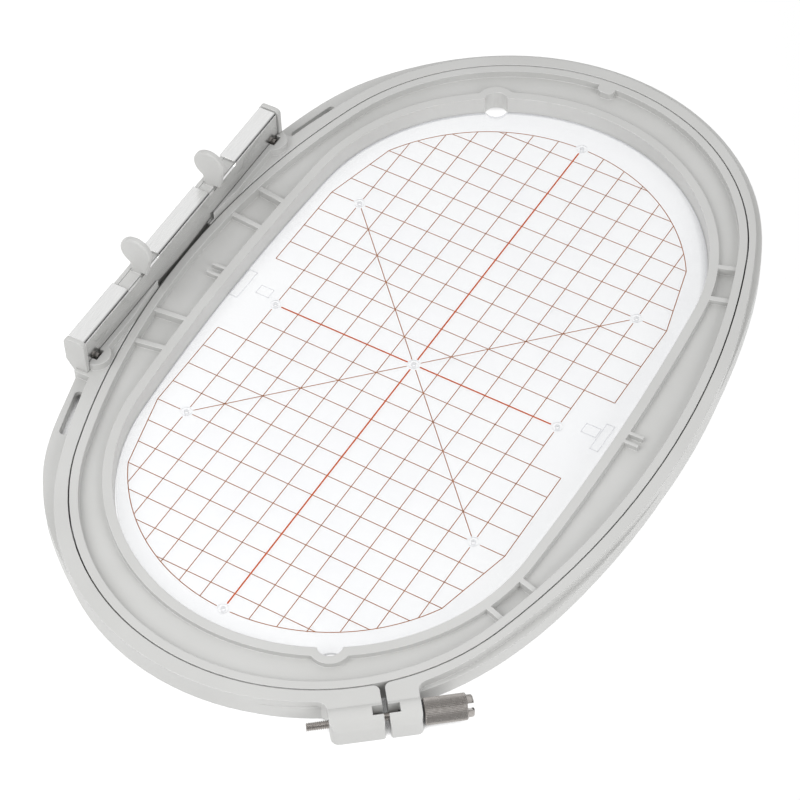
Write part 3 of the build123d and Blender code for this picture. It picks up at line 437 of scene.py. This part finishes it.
@dataclass(frozen=True)
class PlatedMetal:
    """Plated metal with fine marks and slightly tarnished patches."""

    name: str
    colour: Colour
    dull_colour: Colour
    roughness: float
    roughness_shares: Pair = (0.8, 1.25)
    mark: float = 1.2 * MM
    mark_detail: float = 4.0
    pit_share: float = 0.25
    pit_detail: float = 2.0
    pit_depth: float = 0.004 * MM
    edge_radius: float = 0.1 * MM

    def material(self) -> bpy.types.Material:
        """Build the material.

        Returns:
            The new material.
        """
        graph = Graph(self.name)
        marks = graph.noise(self.mark, self.mark_detail)
        graph.paint(graph.clouded(marks, self.colour, self.dull_colour))
        low, high = self.roughness_shares
        graph.roughen(marks, self.roughness * low, self.roughness * high)
        graph.fix("Metallic", 1.0)
        pits = graph.noise(self.mark * self.pit_share, self.pit_detail)
        graph.relief(pits, self.pit_depth, graph.rounded(self.edge_radius))
        return graph.material


@dataclass(frozen=True)
class PrintInk:
    """Printing ink, a little uneven in its cover."""

    name: str
    colour: Colour
    thin_colour: Colour
    roughness: float = 0.5
    roughness_spread: float = 0.1
    patch: float = 0.9 * MM
    patch_detail: float = 3.0

    def material(self) -> bpy.types.Material:
        """Build the material.

        Returns:
            The new material.
        """
        graph = Graph(self.name)
        patches = graph.noise(self.patch, self.patch_detail)
        graph.paint(graph.clouded(patches, self.colour, self.thin_colour))
        graph.roughen(patches, self.roughness - self.roughness_spread, self.roughness + self.roughness_spread)
        return graph.material


NICKEL_PLATE = PlatedMetal(
    "nickel_plate", colour=(0.50, 0.475, 0.455), dull_colour=(0.40, 0.375, 0.355), roughness=0.30,
)
BLACKENED_STEEL = PlatedMetal(
    "blackened_steel", colour=(0.10, 0.10, 0.105), dull_colour=(0.06, 0.06, 0.06), roughness=0.45,
)
THIN_INK = PrintInk("thin_brown_ink", colour=(0.30, 0.085, 0.012), thin_colour=(0.33, 0.11, 0.022))
BOLD_INK = PrintInk("bold_orange_ink", colour=(0.50, 0.070, 0.006), thin_colour=(0.56, 0.095, 0.014))


@dataclass(frozen=True)
class StudioPaper:
    """Plain pale paper that glows, with painted shade only under the rings and in narrow slots.

    Its painted glow falls off from the picture's left to its right. The formula of an oval, which is 1 at the
    seam between the rings, tells how far out the paper lies: over inner_band it darkens to the painted
    ring_shade, and beyond outer_band only narrow slots get painted shade. From below it is clear, so that
    the hoop's underside can be looked at.
    """

    name: str = "pale_paper_painted_shade"
    colour: Colour = (1.0, 1.0, 1.0)
    roughness: float = 0.9
    # Painted light: the glow is stronger at the picture's left than at its right.
    glow_left: float = 1.16
    glow_right: float = 1.0
    rightward: Point = (0.87, 0.49, 0.0)
    glow_reach: float = 150.0 * MM
    seam: Pair = (101.3 * MM, 158.0 * MM)
    power: float = 2.3
    inner_band: Pair = (0.72, 0.80)
    outer_band: Pair = (0.99, 1.03)
    # Painted shade under the rings and in narrow slots.
    ring_shade: float = 0.10
    slot_shade: float = 0.06
    slot_reach: float = 12.0 * MM
    slot_openness: Pair = (0.08, 0.32)

    def material(self) -> bpy.types.Material:
        """Build the material.

        Returns:
            The new material.
        """
        graph = Graph(self.name)
        graph.fix("Base Color", (0.0, 0.0, 0.0, 1.0))
        graph.fix("Roughness", self.roughness)
        graph.fix("Specular IOR Level", 0.0)
        graph.fix("Emission Color", (*self.colour, 1.0))
        across = graph.add("ShaderNodeVectorMath")
        across.operation = "DOT_PRODUCT"
        across.inputs[1].default_value = self.rightward
        graph.join(graph.place, across.inputs[0])
        # Painted light falling off from left to right.
        ends = (-self.glow_reach, self.glow_reach)
        glow = graph.spread(across.outputs["Value"], self.glow_left, self.glow_right, *ends)
        graph.join(graph.math("MULTIPLY", glow, self.cover(graph)), graph.shader.inputs["Emission Strength"])
        back = graph.add("ShaderNodeNewGeometry").outputs["Backfacing"]
        graph.join(graph.spread(back, 1.0, 0.0, 0.0, 1.0), graph.shader.inputs["Alpha"])
        return graph.material

    def cover(self, graph: Graph) -> bpy.types.NodeSocket:
        """Painted shade of the paper: dark under the rings, dimmed in slots outside them.

        Args:
            graph: The material under construction.

        Returns:
            The share of the glow that is left.
        """
        parts = graph.add("ShaderNodeSeparateXYZ")
        graph.join(graph.place, parts.inputs[0])
        powers = []
        for axis, half in zip("XY", self.seam):
            share = graph.math("DIVIDE", parts.outputs[axis], half)
            powers.append(graph.math("POWER", graph.math("ABSOLUTE", share), self.power))
        way_out = graph.math("ADD", powers[0], powers[1])
        occluded = graph.add("ShaderNodeAmbientOcclusion")
        occluded.inputs["Distance"].default_value = self.slot_reach
        # Painted shade in narrow slots, from ambient occlusion.
        slots = graph.spread(occluded.outputs["AO"], self.slot_shade, 1.0, *self.slot_openness)
        # Painted shade under the rings.
        inside = graph.spread(way_out, 1.0, self.ring_shade, *self.inner_band)
        outside = graph.spread(way_out, 0.0, 1.0, *self.outer_band)
        return graph.blend(outside, inside, slots)


def dress(node: str, material: bpy.types.Material) -> None:
    """Give a CAD node its material.

    Args:
        node: Name of the node.
        material: Material for all its faces.
    """
    piece = frame["nodes"][node]
    piece.data.materials.clear()
    piece.data.materials.append(material)
    log.info("dressed %s with %s", node, material.name)


def place_in_scene(name: str, data: bpy.types.ID) -> bpy.types.Object:
    """Make an object of a mesh, a light or a camera.

    Args:
        name: Name of the object.
        data: The mesh, light or camera.

    Returns:
        The new object.
    """
    made = bpy.data.objects.new(name, data)
    bpy.context.scene.collection.objects.link(made)
    return made


def finish_piece(name: str, mesh: bmesh.types.BMesh, material: bpy.types.Material, body: Body,
                 replaced: tuple[str, ...] = (), smooth: bool = False) -> bpy.types.Object:
    """Turn a finished bmesh into a piece of the model.

    Args:
        name: Name of the piece.
        mesh: The mesh, which is freed.
        material: Its material.
        body: Body that it rides on.
        replaced: CAD nodes that it stands for.
        smooth: Whether faces shade smoothly up to sharp edges.

    Returns:
        The new object.
    """
    data = bpy.data.meshes.new(name)
    mesh.to_mesh(data)
    mesh.free()
    data.materials.append(material)
    piece = place_in_scene(name, data)
    if smooth:
        data.shade_smooth()
        data.set_sharp_from_angle(angle=SHARP_ANGLE)
    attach(piece, body.value)
    if replaced:
        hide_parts(*replaced)
    log.info("built %s on %s", name, body.value)
    return piece


def close_up(mesh: bmesh.types.BMesh) -> None:
    """Merge doubles and turn every face outward."""
    bmesh.ops.remove_doubles(mesh, verts=mesh.verts, dist=WELD)
    bmesh.ops.recalc_face_normals(mesh, faces=mesh.faces)


def edges_at(verts: list[bmesh.types.BMVert]) -> list[bmesh.types.BMEdge]:
    """Every edge that ends at one of some vertices, once each."""
    return list(dict.fromkeys(edge for vert in verts for edge in vert.link_edges))


def with_links(verts: list[bmesh.types.BMVert]) -> list[Element]:
    """Vertices, followed by every edge and face at them."""
    faces = dict.fromkeys(face for vert in verts for face in vert.link_faces)
    return [*verts, *edges_at(verts), *faces]


def add_bar(mesh: bmesh.types.BMesh, place: Matrix, start: Vector, end: Vector, width: float,
            height: float) -> None:
    """Add a flat bar between two points of a plane.

    Args:
        mesh: Mesh to add to.
        place: Matrix from the plane to the model.
        start: Middle of the bar's first end, on its underside.
        end: Middle of its other end.
        width: Width across.
        height: Thickness along the plane's Z.
    """
    run = end - start
    middle = (start + end) / 2 + Vector((0.0, 0.0, height / 2))
    turn = Matrix.Rotation(math.atan2(run.y, run.x), 4, "Z")
    size = Matrix.Diagonal((run.length, width, height, 1.0))
    bmesh.ops.create_cube(mesh, size=1.0, matrix=place @ Matrix.Translation(middle) @ turn @ size)


def add_rod(mesh: bmesh.types.BMesh, radius: float, start: float, end: float,
            segments: int) -> list[bmesh.types.BMVert]:
    """Add a plain round rod along Z.

    Args:
        mesh: Mesh to add to.
        radius: Radius of the rod.
        start: Z of its first end.
        end: Z of its other end.
        segments: Sides of its round.

    Returns:
        Its vertices.
    """
    made = bmesh.ops.create_cone(
        mesh, cap_ends=True, segments=segments, radius1=radius, radius2=radius,
        depth=end - start, matrix=Matrix.Translation((0.0, 0.0, (start + end) / 2)),
    )
    return made["verts"]


def trim(mesh: bmesh.types.BMesh, geometry: list[Element], point: Vector, outward: Vector) -> None:
    """Cut away what lies beyond a plane, and close the cut.

    Args:
        mesh: Mesh to cut.
        geometry: Vertices, edges and faces that the plane cuts.
        point: A point of the plane.
        outward: The plane's normal, toward what goes.
    """
    cut = bmesh.ops.bisect_plane(
        mesh, geom=geometry, dist=CUT_SLACK, plane_co=point, plane_no=outward, clear_outer=True,
    )
    rim = [item for item in cut["geom_cut"] if isinstance(item, bmesh.types.BMEdge)]
    bmesh.ops.holes_fill(mesh, edges=rim, sides=0)


def span_on_axis(node: str, origin: Vector, axis: Vector) -> Pair:
    """Reach of a CAD node along an axis.

    Args:
        node: Name of the node.
        origin: Point where the distance is 0.
        axis: Direction of the axis.

    Returns:
        Least and greatest distance of its corners.
    """
    reach = [(corner.co - origin).dot(axis) for corner in frame["nodes"][node].data.vertices]
    return min(reach), max(reach)


@dataclass
class Rings:
    """Outer and inner ring."""

    plastic: bpy.types.Material

    def dress(self) -> None:
        """Dress both rings."""
        dress("outer_ring", self.plastic)
        dress("inner_ring", self.plastic)


@dataclass
class GridTemplate:
    """Clear sheet with its printed centimetre grid and moulded marks.

    The print has axes of its own, with 0 in its middle and Y along the hoop. Its field reaches out to
    waist near the middle, to side from waist_half on, and narrows from shoulder to the crown, where an
    arc closes it at the height top. Its outlines are boxes given by left, low, right and high, in
    millimetres.
    """

    sheet: bpy.types.Material
    thin_ink: bpy.types.Material
    bold_ink: bpy.types.Material
    off_centre: Pair = (-1.98 * MM, -1.0 * MM)
    turn: float = math.radians(-1.4)
    sheet_top: float = 1.2 * MM
    square: float = 10.0 * MM
    columns: int = 6
    rows: int = 12
    side: float = 72.5 * MM
    waist: float = 60.0 * MM
    waist_half: float = 20.0 * MM
    shoulder: float = 60.0 * MM
    crown_x: float = 65.0 * MM
    crown_y: float = 90.0 * MM
    top: float = 127.5 * MM
    arc_steps: int = 40
    thin_line: float = 0.32 * MM
    bold_line: float = 0.60 * MM
    ink_height: float = 0.03 * MM
    # Thin lines take these heights in turn, so that few of them cross in one plane.
    height_steps: int = 5
    height_step_share: float = 0.01
    bold_height_share: float = 1.3
    mark_clearance: float = 2.6 * MM
    outline_width: float = 0.35 * MM
    outline_height: float = 0.15 * MM
    outlines: tuple[tuple[float, float, float, float], ...] = (
        (-78.0, -4.0, -74.5, 10.2),
        (74.8, -3.0, 78.0, 10.0),
        (-69.7, 1.5, -64.2, 5.7),
        (68.3, 2.3, 74.2, 6.7),
    )

    def place(self) -> Matrix:
        """Where the print lies.

        Returns:
            Matrix from the print's own axes to the model.
        """
        low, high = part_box("grid_template")
        middle = (low + high) / 2
        centre = Vector((middle.x + self.off_centre[0], middle.y + self.off_centre[1], self.sheet_top))
        return Matrix.Translation(centre) @ Matrix.Rotation(self.turn, 4, "Z")

    def marks(self) -> list[Vector]:
        """Where the raised marks stand that the lines stop short of.

        Returns:
            Their centres.
        """
        sides = [Vector((x * self.waist, y * self.waist, 0.0)) for x in (-1, 1) for y in (-1, 0, 1)]
        middle = [Vector((0.0, y * self.top, 0.0)) for y in (-1, 0, 1)]
        return sides + middle

    def crown(self) -> Pair:
        """The arc that closes the field at its end.

        Returns:
            Y of the arc's centre, and its radius.
        """
        rise = self.crown_x**2 + self.crown_y**2 - self.top**2
        centre = rise / (2 * (self.crown_y - self.top))
        return centre, self.top - centre

    def reach_at(self, y: float) -> float:
        """Half width of the printed field.

        Args:
            y: Height on the print, 0 or more.

        Returns:
            X of the field's edge there.
        """
        if y < self.waist_half - HAIR:
            return self.waist
        if y <= self.shoulder:
            return self.side
        if y <= self.crown_y:
            share = (y - self.shoulder) / (self.crown_y - self.shoulder)
            return self.side + share * (self.crown_x - self.side)
        centre, radius = self.crown()
        return math.sqrt(radius**2 - (y - centre) ** 2)

    def stretches(self, start: Vector, end: Vector) -> list[tuple[Vector, Vector]]:
        """Parts of a line that keep clear of the marks.

        Args:
            start: First end of the line.
            end: Other end.

        Returns:
            Ends of each part.
        """
        way = (end - start).normalized()
        length = (end - start).length
        cuts = []
        for mark in self.marks():
            along = (mark - start).dot(way)
            off = (mark - start - way * along).length
            if off < self.mark_clearance:
                half = math.sqrt(self.mark_clearance**2 - off**2)
                cuts.append((along - half, along + half))
        parts, at = [], 0.0
        for low, high in sorted(cuts):
            if low > at:
                parts.append((at, min(low, length)))
            at = max(at, high)
        if at < length:
            parts.append((at, length))
        return [(start + way * low, start + way * high) for low, high in parts if high - low > self.bold_line]

    def thin_lines(self) -> list[tuple[Vector, Vector]]:
        """All the thin straight lines.

        Returns:
            Ends of each line.
        """
        lines = []
        centre, radius = self.crown()
        for step in range(1, self.columns + 1):
            x = step * self.square
            top = centre + math.sqrt(radius**2 - x**2)
            lines += [((side * x, -top), (side * x, top)) for side in (-1, 1)]
        for step in range(1, self.rows + 1):
            y = step * self.square
            reach = self.reach_at(y)
            lines += [((-reach, sign * y), (reach, sign * y)) for sign in (-1, 1)]
        for side in (-1, 1):
            for sign in (-1, 1):
                corner = (side * self.side, sign * self.shoulder)
                lines.append(((side * self.side, sign * self.waist_half), corner))
                lines.append((corner, (side * self.crown_x, sign * self.crown_y)))
                lines.append(((0.0, 0.0), (side * self.waist, sign * self.waist)))
        return [(Vector((*start, 0.0)), Vector((*end, 0.0))) for start, end in lines]

    def bold_lines(self) -> list[tuple[Vector, Vector]]:
        """The two bold centre lines.

        Returns:
            Ends of each line.
        """
        upright = (Vector((0.0, -self.top, 0.0)), Vector((0.0, self.top, 0.0)))
        across = (Vector((-self.waist, 0.0, 0.0)), Vector((self.waist, 0.0, 0.0)))
        return [upright, across]

    def add_crown_arcs(self, mesh: bmesh.types.BMesh) -> None:
        """Add the four end arcs, each from a corner of the crown to the mark at its top.

        Args:
            mesh: Mesh to add to.
        """
        centre, radius = self.crown()
        first_angle = math.atan2(self.crown_y - centre, self.crown_x)
        mark_angle = math.pi / 2 - self.mark_clearance / radius
        half = self.thin_line / 2
        corners = [(radius - half, 0.0), (radius + half, 0.0),
                   (radius + half, self.ink_height), (radius - half, self.ink_height)]
        turn = Matrix.Rotation(first_angle, 4, "Z")
        shift = Matrix.Translation((0.0, centre, 0.0))
        for side in (-1, 1):
            for sign in (-1, 1):
                flip = Matrix.Diagonal((side, sign, 1.0, 1.0))
                whole = self.place() @ flip @ shift
                verts = [mesh.verts.new(whole @ turn @ Vector((x, 0.0, z))) for x, z in corners]
                face = mesh.faces.new(verts)
                bmesh.ops.spin(
                    mesh, geom=[face, *face.edges, *verts], cent=whole @ Vector((0.0, 0.0, 0.0)),
                    axis=UP * (side * sign), dvec=Vector(), angle=mark_angle - first_angle,
                    steps=self.arc_steps, use_merge=False, use_duplicate=False,
                )

    def build_print(self) -> None:
        """Build the printed lines."""
        place = self.place()
        mesh = bmesh.new()
        for index, (start, end) in enumerate(self.thin_lines()):
            height = self.ink_height * (1 + self.height_step_share * (index % self.height_steps))
            for low, high in self.stretches(start, end):
                add_bar(mesh, place, low, high, self.thin_line, height)
        self.add_crown_arcs(mesh)
        bmesh.ops.recalc_face_normals(mesh, faces=mesh.faces)
        finish_piece("grid_print_thin", mesh, self.thin_ink, Body.TEMPLATE)
        mesh = bmesh.new()
        for start, end in self.bold_lines():
            for low, high in self.stretches(start, end):
                add_bar(mesh, place, low, high, self.bold_line, self.ink_height * self.bold_height_share)
        finish_piece("grid_print_bold", mesh, self.bold_ink, Body.TEMPLATE)

    def build_outlines(self) -> None:
        """Build the faint moulded outlines beside the waist."""
        place = self.place()
        mesh = bmesh.new()
        for left, low, right, high in self.outlines:
            places = ((left, low), (right, low), (right, high), (left, high))
            corners = [Vector((x, y, 0.0)) * MM for x, y in places]
            for start, end in zip(corners, corners[1:] + corners[:1]):
                add_bar(mesh, place, start, end, self.outline_width, self.outline_height)
        finish_piece("template_outlines", mesh, self.sheet, Body.TEMPLATE)

    def build(self) -> None:
        """Build and dress the template."""
        dress("grid_template", self.sheet)
        self.build_print()
        self.build_outlines()


@dataclass
class ClampScrew:
    """Tension screw with its thread, knurled knob, washer, clip and nut."""

    nickel: bpy.types.Material
    dark: bpy.types.Material
    teeth: int = 50
    tooth_depth: float = 0.2 * MM
    knob_radius: float = 4.6 * MM
    knob_chamfer: float = 0.35 * MM
    bore_radius: float = 1.55 * MM
    shaft_radius: float = 1.5 * MM
    shaft_segments: int = 32
    pitch: float = 0.7 * MM
    thread_depth: float = 0.28 * MM
    thread_steps: int = 24
    # Shares of the pitch where the rise starts, the crest starts and ends, and the fall ends.
    flank_shares: tuple[float, float, float, float] = (0.15, 0.42, 0.58, 0.85)
    spare_turns: int = 2
    jaw_radius: float = 3.8 * MM
    jaw_segments: int = 48
    jaw_slot: float = 2.2 * MM
    jaw_rounding: float = 0.9 * MM
    jaw_rounding_segments: int = 4
    # A corner that a cut leaves on the jaws' rim lies up to this far inside their radius.
    jaw_rim_slack: float = 0.01 * MM
    jaw_turn: float = math.radians(50.0)
    origin: Vector = field(init=False)
    axis: Vector = field(init=False)

    def __post_init__(self) -> None:
        """Read the screw's axis from its joint."""
        joint = next(joint for joint in frame["joints"] if joint["name"] == "tension_screw_turn")
        self.origin = Vector(joint["pos_m"])
        self.axis = Vector(joint["axis"]).normalized()

    def place(self) -> Matrix:
        """Where the screw lies.

        Returns:
            Matrix from the screw's own axes, Z along it and Y upward, to the model.
        """
        side = UP.cross(self.axis).normalized()
        turn = Matrix((side, UP, self.axis)).transposed().to_4x4()
        return Matrix.Translation(self.origin) @ turn

    def add_sleeve(self, mesh: bmesh.types.BMesh, start: float, end: float) -> None:
        """Add the straight-knurled sleeve, chamfered at both ends.

        Args:
            mesh: Mesh to add to.
            start: Where it starts along the axis.
            end: Where it ends.
        """
        chamfer, radius, depth = self.knob_chamfer, self.knob_radius, self.tooth_depth
        rings = [
            (start, self.bore_radius, 0.0), (start, radius - chamfer - depth, 0.0),
            (start + chamfer, radius, depth), (end - chamfer, radius, depth),
            (end, radius - chamfer - depth, 0.0), (end, self.bore_radius, 0.0),
        ]
        loops = []
        for along, ring_radius, groove in rings:
            made = bmesh.ops.create_circle(mesh, segments=2 * self.teeth, radius=ring_radius,
                                           matrix=Matrix.Translation((0.0, 0.0, along)))
            share = (ring_radius - groove) / ring_radius
            for vert in made["verts"][1::2]:
                vert.co.x *= share
                vert.co.y *= share
            loops.append(edges_at(made["verts"]))
        for first, second in zip(loops, loops[1:] + loops[:1]):
            bmesh.ops.bridge_loops(mesh, edges=first + second)
        close_up(mesh)

    def add_jaws(self, mesh: bmesh.types.BMesh, start: float, end: float) -> None:
        """Add the two rounded jaws on the knob's end face.

        Args:
            mesh: Mesh to add to.
            start: Where they stand along the axis.
            end: Where they end.
        """
        across = Vector((math.sin(self.jaw_turn), math.cos(self.jaw_turn), 0.0))
        for side in (-1.0, 1.0):
            jaw = add_rod(mesh, self.jaw_radius, start, end, self.jaw_segments)
            trim(mesh, with_links(jaw), across * (side * self.jaw_slot / 2), across * -side)
        rim_radius = self.jaw_radius - self.jaw_rim_slack
        outer = [edge for edge in mesh.edges if all(
            abs(vert.co.z - end) < HAIR and vert.co.xy.length > rim_radius for vert in edge.verts)]
        bmesh.ops.bevel(mesh, geom=outer, offset=self.jaw_rounding, affect="EDGES",
                        segments=self.jaw_rounding_segments, profile=0.5, material=-1)

    def build_knob(self) -> None:
        """Build the knurled sleeve with its two jaws."""
        start, tip = span_on_axis("thumb_knob", self.origin, self.axis)
        end = span_on_axis("tension_screw", self.origin, self.axis)[1]
        mesh = bmesh.new()
        self.add_sleeve(mesh, start, end)
        self.add_jaws(mesh, end, tip)
        bmesh.ops.recalc_face_normals(mesh, faces=mesh.faces)
        bmesh.ops.transform(mesh, matrix=self.place(), verts=mesh.verts)
        finish_piece("knurled_knob", mesh, self.nickel, Body.SCREW, ("thumb_knob",))

    def add_thread(self, mesh: bmesh.types.BMesh, start: float, end: float) -> None:
        """Add a threaded rod.

        Args:
            mesh: Mesh to add to.
            start: Where it starts along the axis.
            end: Where it ends.
        """
        crest = self.shaft_radius
        root = crest - self.thread_depth
        shares = (0.0, *self.flank_shares, 1.0)
        radii = (root, root, crest, crest, root, root)
        base = start - self.pitch
        corners = [(radius, 0.0, base + share * self.pitch) for share, radius in zip(shares, radii)]
        verts = [mesh.verts.new(corner) for corner in corners]
        edges = [mesh.edges.new(pair) for pair in zip(verts, verts[1:])]
        turns = math.ceil((end - start) / self.pitch) + self.spare_turns
        bmesh.ops.spin(
            mesh, geom=verts + edges, cent=(0.0, 0.0, 0.0), axis=(0.0, 0.0, 1.0),
            dvec=(0.0, 0.0, self.pitch / self.thread_steps), angle=math.tau * turns,
            steps=self.thread_steps * turns, use_merge=False, use_duplicate=False,
        )
        bmesh.ops.remove_doubles(mesh, verts=mesh.verts, dist=HAIR)
        for along, outward in ((start, -UP), (end, UP)):
            trim(mesh, mesh.verts[:] + mesh.edges[:] + mesh.faces[:], UP * along, outward)

    def build_screw(self) -> None:
        """Build the threaded shaft, plain inside the knob."""
        start, end = span_on_axis("tension_screw", self.origin, self.axis)
        knob_start = span_on_axis("thumb_knob", self.origin, self.axis)[0]
        mesh = bmesh.new()
        self.add_thread(mesh, start, knob_start)
        add_rod(mesh, self.shaft_radius, knob_start, end, self.shaft_segments)
        bmesh.ops.recalc_face_normals(mesh, faces=mesh.faces)
        bmesh.ops.transform(mesh, matrix=self.place(), verts=mesh.verts)
        finish_piece("threaded_screw", mesh, self.nickel, Body.SCREW, ("tension_screw",),
                     smooth=True)

    def build(self) -> None:
        """Build and dress the screw's pieces."""
        self.build_knob()
        self.build_screw()
        dress("knob_washer", self.dark)
        dress("screw_clip", self.dark)
        dress("tension_nut", self.nickel)


@dataclass
class ReturnSpring:
    """Coil spring round the guide rod, pressed by one latch.

    Its CAD node is a plain sleeve, whose box it fills. fixed_high is not used.
    """

    node: str
    joint: str
    travel: float
    fixed_high: bool
    nickel: bpy.types.Material
    wire: float = 0.5 * MM
    wire_segments: int = 8
    coils: int = 7
    coil_steps: int = 20

    def build(self) -> None:
        """Build the coil in its CAD sleeve's box."""
        low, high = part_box(self.node)
        centre = (low + high) / 2
        radius = self.wire / 2
        mean = (high.z - low.z - self.wire) / 2
        length = high.y - low.y
        steps = self.coils * self.coil_steps
        mesh = bmesh.new()
        first = Matrix.Translation((centre.x + mean, low.y + radius, centre.z))
        ring = bmesh.ops.create_circle(mesh, segments=self.wire_segments, radius=radius, cap_ends=True,
                                       matrix=first)["verts"]
        bmesh.ops.spin(
            mesh, geom=with_links(ring), cent=(centre.x, low.y, centre.z), axis=(0.0, 1.0, 0.0),
            dvec=(0.0, (length - self.wire) / steps, 0.0), angle=math.tau * self.coils, steps=steps,
            use_merge=False, use_duplicate=False,
        )
        close_up(mesh)
        piece = finish_piece(f"coil_{self.node}", mesh, self.nickel, Body.HOOP, (self.node,),
                             smooth=True)
        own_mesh(piece)


@dataclass
class ArmBracket:
    """Moulded housing, steel channel, latches and their small hardware."""

    plastic: bpy.types.Material
    steel: bpy.types.Material
    nickel: bpy.types.Material
    travel: float = 3.5 * MM

    def build(self) -> None:
        """Dress the bracket's pieces and build its springs."""
        for node in ("bracket_housing", "latch_front", "latch_rear"):
            dress(node, self.plastic)
        for node in ("bracket_channel", "latch_plate_front", "latch_plate_rear"):
            dress(node, self.steel)
        for node in ("channel_rivets", "housing_screws", "guide_rod"):
            dress(node, self.nickel)
        for end, fixed_high in (("front", True), ("rear", False)):
            node, joint = f"latch_spring_{end}", f"{end}_latch_press"
            ReturnSpring(node, joint, self.travel, fixed_high, self.nickel).build()


@dataclass(frozen=True)
class SoftLight:
    """One large round area light, its power in watts, which shiny faces mirror only if mirrored is true."""

    name: str
    place: Point
    size: float
    power: float
    mirrored: bool = True

    def build(self) -> None:
        """Hang the light, facing the hoop's middle."""
        data = bpy.data.lights.new(self.name, "AREA")
        data.shape = "DISK"
        data.size = self.size
        data.energy = self.power
        lamp = place_in_scene(self.name, data)
        lamp.location = self.place
        lamp.visible_glossy = self.mirrored
        lamp.rotation_euler = Vector(self.place).to_track_quat("Z", "Y").to_euler()


@dataclass(frozen=True)
class SkyPatch:
    """Soft round patch of the sky, which stands for a white wall or a dark screen in the studio.

    It starts and is full at the two cosines of angles from its middle.
    """

    middle: Point
    cosines: Pair
    outside: float
    inside: float

    def value(self, tree: bpy.types.NodeTree) -> bpy.types.NodeSocket:
        """Add the patch to the world.

        Args:
            tree: Node tree of the world.

        Returns:
            The patch's value.
        """
        toward = tree.nodes.new("ShaderNodeVectorMath")
        toward.operation = "DOT_PRODUCT"
        toward.inputs[1].default_value = self.middle
        tree.links.new(tree.nodes.new("ShaderNodeTexCoord").outputs["Generated"], toward.inputs[0])
        soft = tree.nodes.new("ShaderNodeMapRange")
        soft.interpolation_type = "SMOOTHSTEP"
        limits = (*self.cosines, self.outside, self.inside)
        for socket, limit in zip(("From Min", "From Max", "To Min", "To Max"), limits):
            soft.inputs[socket].default_value = limit
        tree.links.new(toward.outputs["Value"], soft.inputs["Value"])
        return soft.outputs["Result"]


@dataclass
class Studio:
    """Pale floor, soft lights, sky and the camera at the photograph's angle.

    The steel's top mirrors the bright patch of the sky, and its bend mirrors the flag, a dark one. The
    sensor and the lens are in millimetres.
    """

    floor_half: float = 4.0
    floor_drop: float = 0.05 * MM
    sky: SkyPatch = SkyPatch((-0.34, 0.55, 0.76), cosines=(0.5, 0.97), outside=0.38, inside=0.95)
    flag: SkyPatch = SkyPatch((0.80, 0.58, 0.15), cosines=(0.91, 0.97), outside=1.0, inside=0.08)
    sensor: float = 36.0
    lens: float = 136.863
    clip: Pair = (0.05, 20.0)
    camera_place: Point = (0.377083, -0.627839, 0.83952)
    camera_right: Point = (0.869157, 0.493729, -0.028249)
    camera_down: Point = (0.360415, -0.671515, -0.647432)
    camera_ahead: Point = (-0.338626, 0.552539, -0.761599)
    lights: tuple[SoftLight, ...] = (
        SoftLight("key_light", place=(-0.30, -0.62, 0.72), size=0.85, power=5.0),
        SoftLight("fill_light", place=(1.05, -0.27, 0.58), size=0.8, power=6.4, mirrored=False),
    )

    def build_floor(self) -> None:
        """Lay the floor just under the hoop."""
        mesh = bmesh.new()
        bmesh.ops.create_grid(mesh, x_segments=1, y_segments=1, size=self.floor_half,
                              matrix=Matrix.Translation((0.0, 0.0, -self.floor_drop)))
        data = bpy.data.meshes.new("floor")
        mesh.to_mesh(data)
        mesh.free()
        data.materials.append(StudioPaper().material())
        floor = place_in_scene("floor", data)

    def build_world(self) -> None:
        """Light the scene from all sides."""
        world = bpy.data.worlds.new("studio_white")
        world.use_nodes = True
        tree = world.node_tree
        background = tree.nodes["Background"]
        background.inputs["Color"].default_value = (1.0, 1.0, 1.0, 1.0)
        strength = tree.nodes.new("ShaderNodeMath")
        strength.operation = "MULTIPLY"
        for socket, patch in zip(strength.inputs, (self.sky, self.flag)):
            tree.links.new(patch.value(tree), socket)
        tree.links.new(strength.outputs[0], background.inputs["Strength"])
        bpy.context.scene.world = world
        bpy.context.scene.view_settings.view_transform = "Standard"

    def build_camera(self) -> None:
        """Place the camera."""
        data = bpy.data.cameras.new("camera")
        data.sensor_fit = "HORIZONTAL"
        data.sensor_width = self.sensor
        data.lens = self.lens
        data.clip_start, data.clip_end = self.clip
        camera = place_in_scene("camera", data)
        right, down, ahead = (Vector(row) for row in (self.camera_right, self.camera_down, self.camera_ahead))
        turn = Matrix((right, -down, -ahead)).transposed().to_4x4()
        camera.matrix_world = Matrix.Translation(Vector(self.camera_place)) @ turn
        bpy.context.scene.camera = camera

    def build(self) -> None:
        """Build the whole studio."""
        self.build_floor()
        self.build_world()
        for light in self.lights:
            light.build()
        self.build_camera()


def main() -> None:
    """Build every sub-assembly in order."""
    logging.basicConfig(level=logging.INFO)
    plastic = MouldedPlastic().material()
    nickel = NICKEL_PLATE.material()
    Rings(plastic).dress()
    GridTemplate(ClearSheet().material(), THIN_INK.material(), BOLD_INK.material()).build()
    ClampScrew(nickel, BLACKENED_STEEL.material()).build()
    ArmBracket(plastic, BrushedSteel().material(), nickel).build()
    Studio().build()


if __name__ == "__main__":
    main()
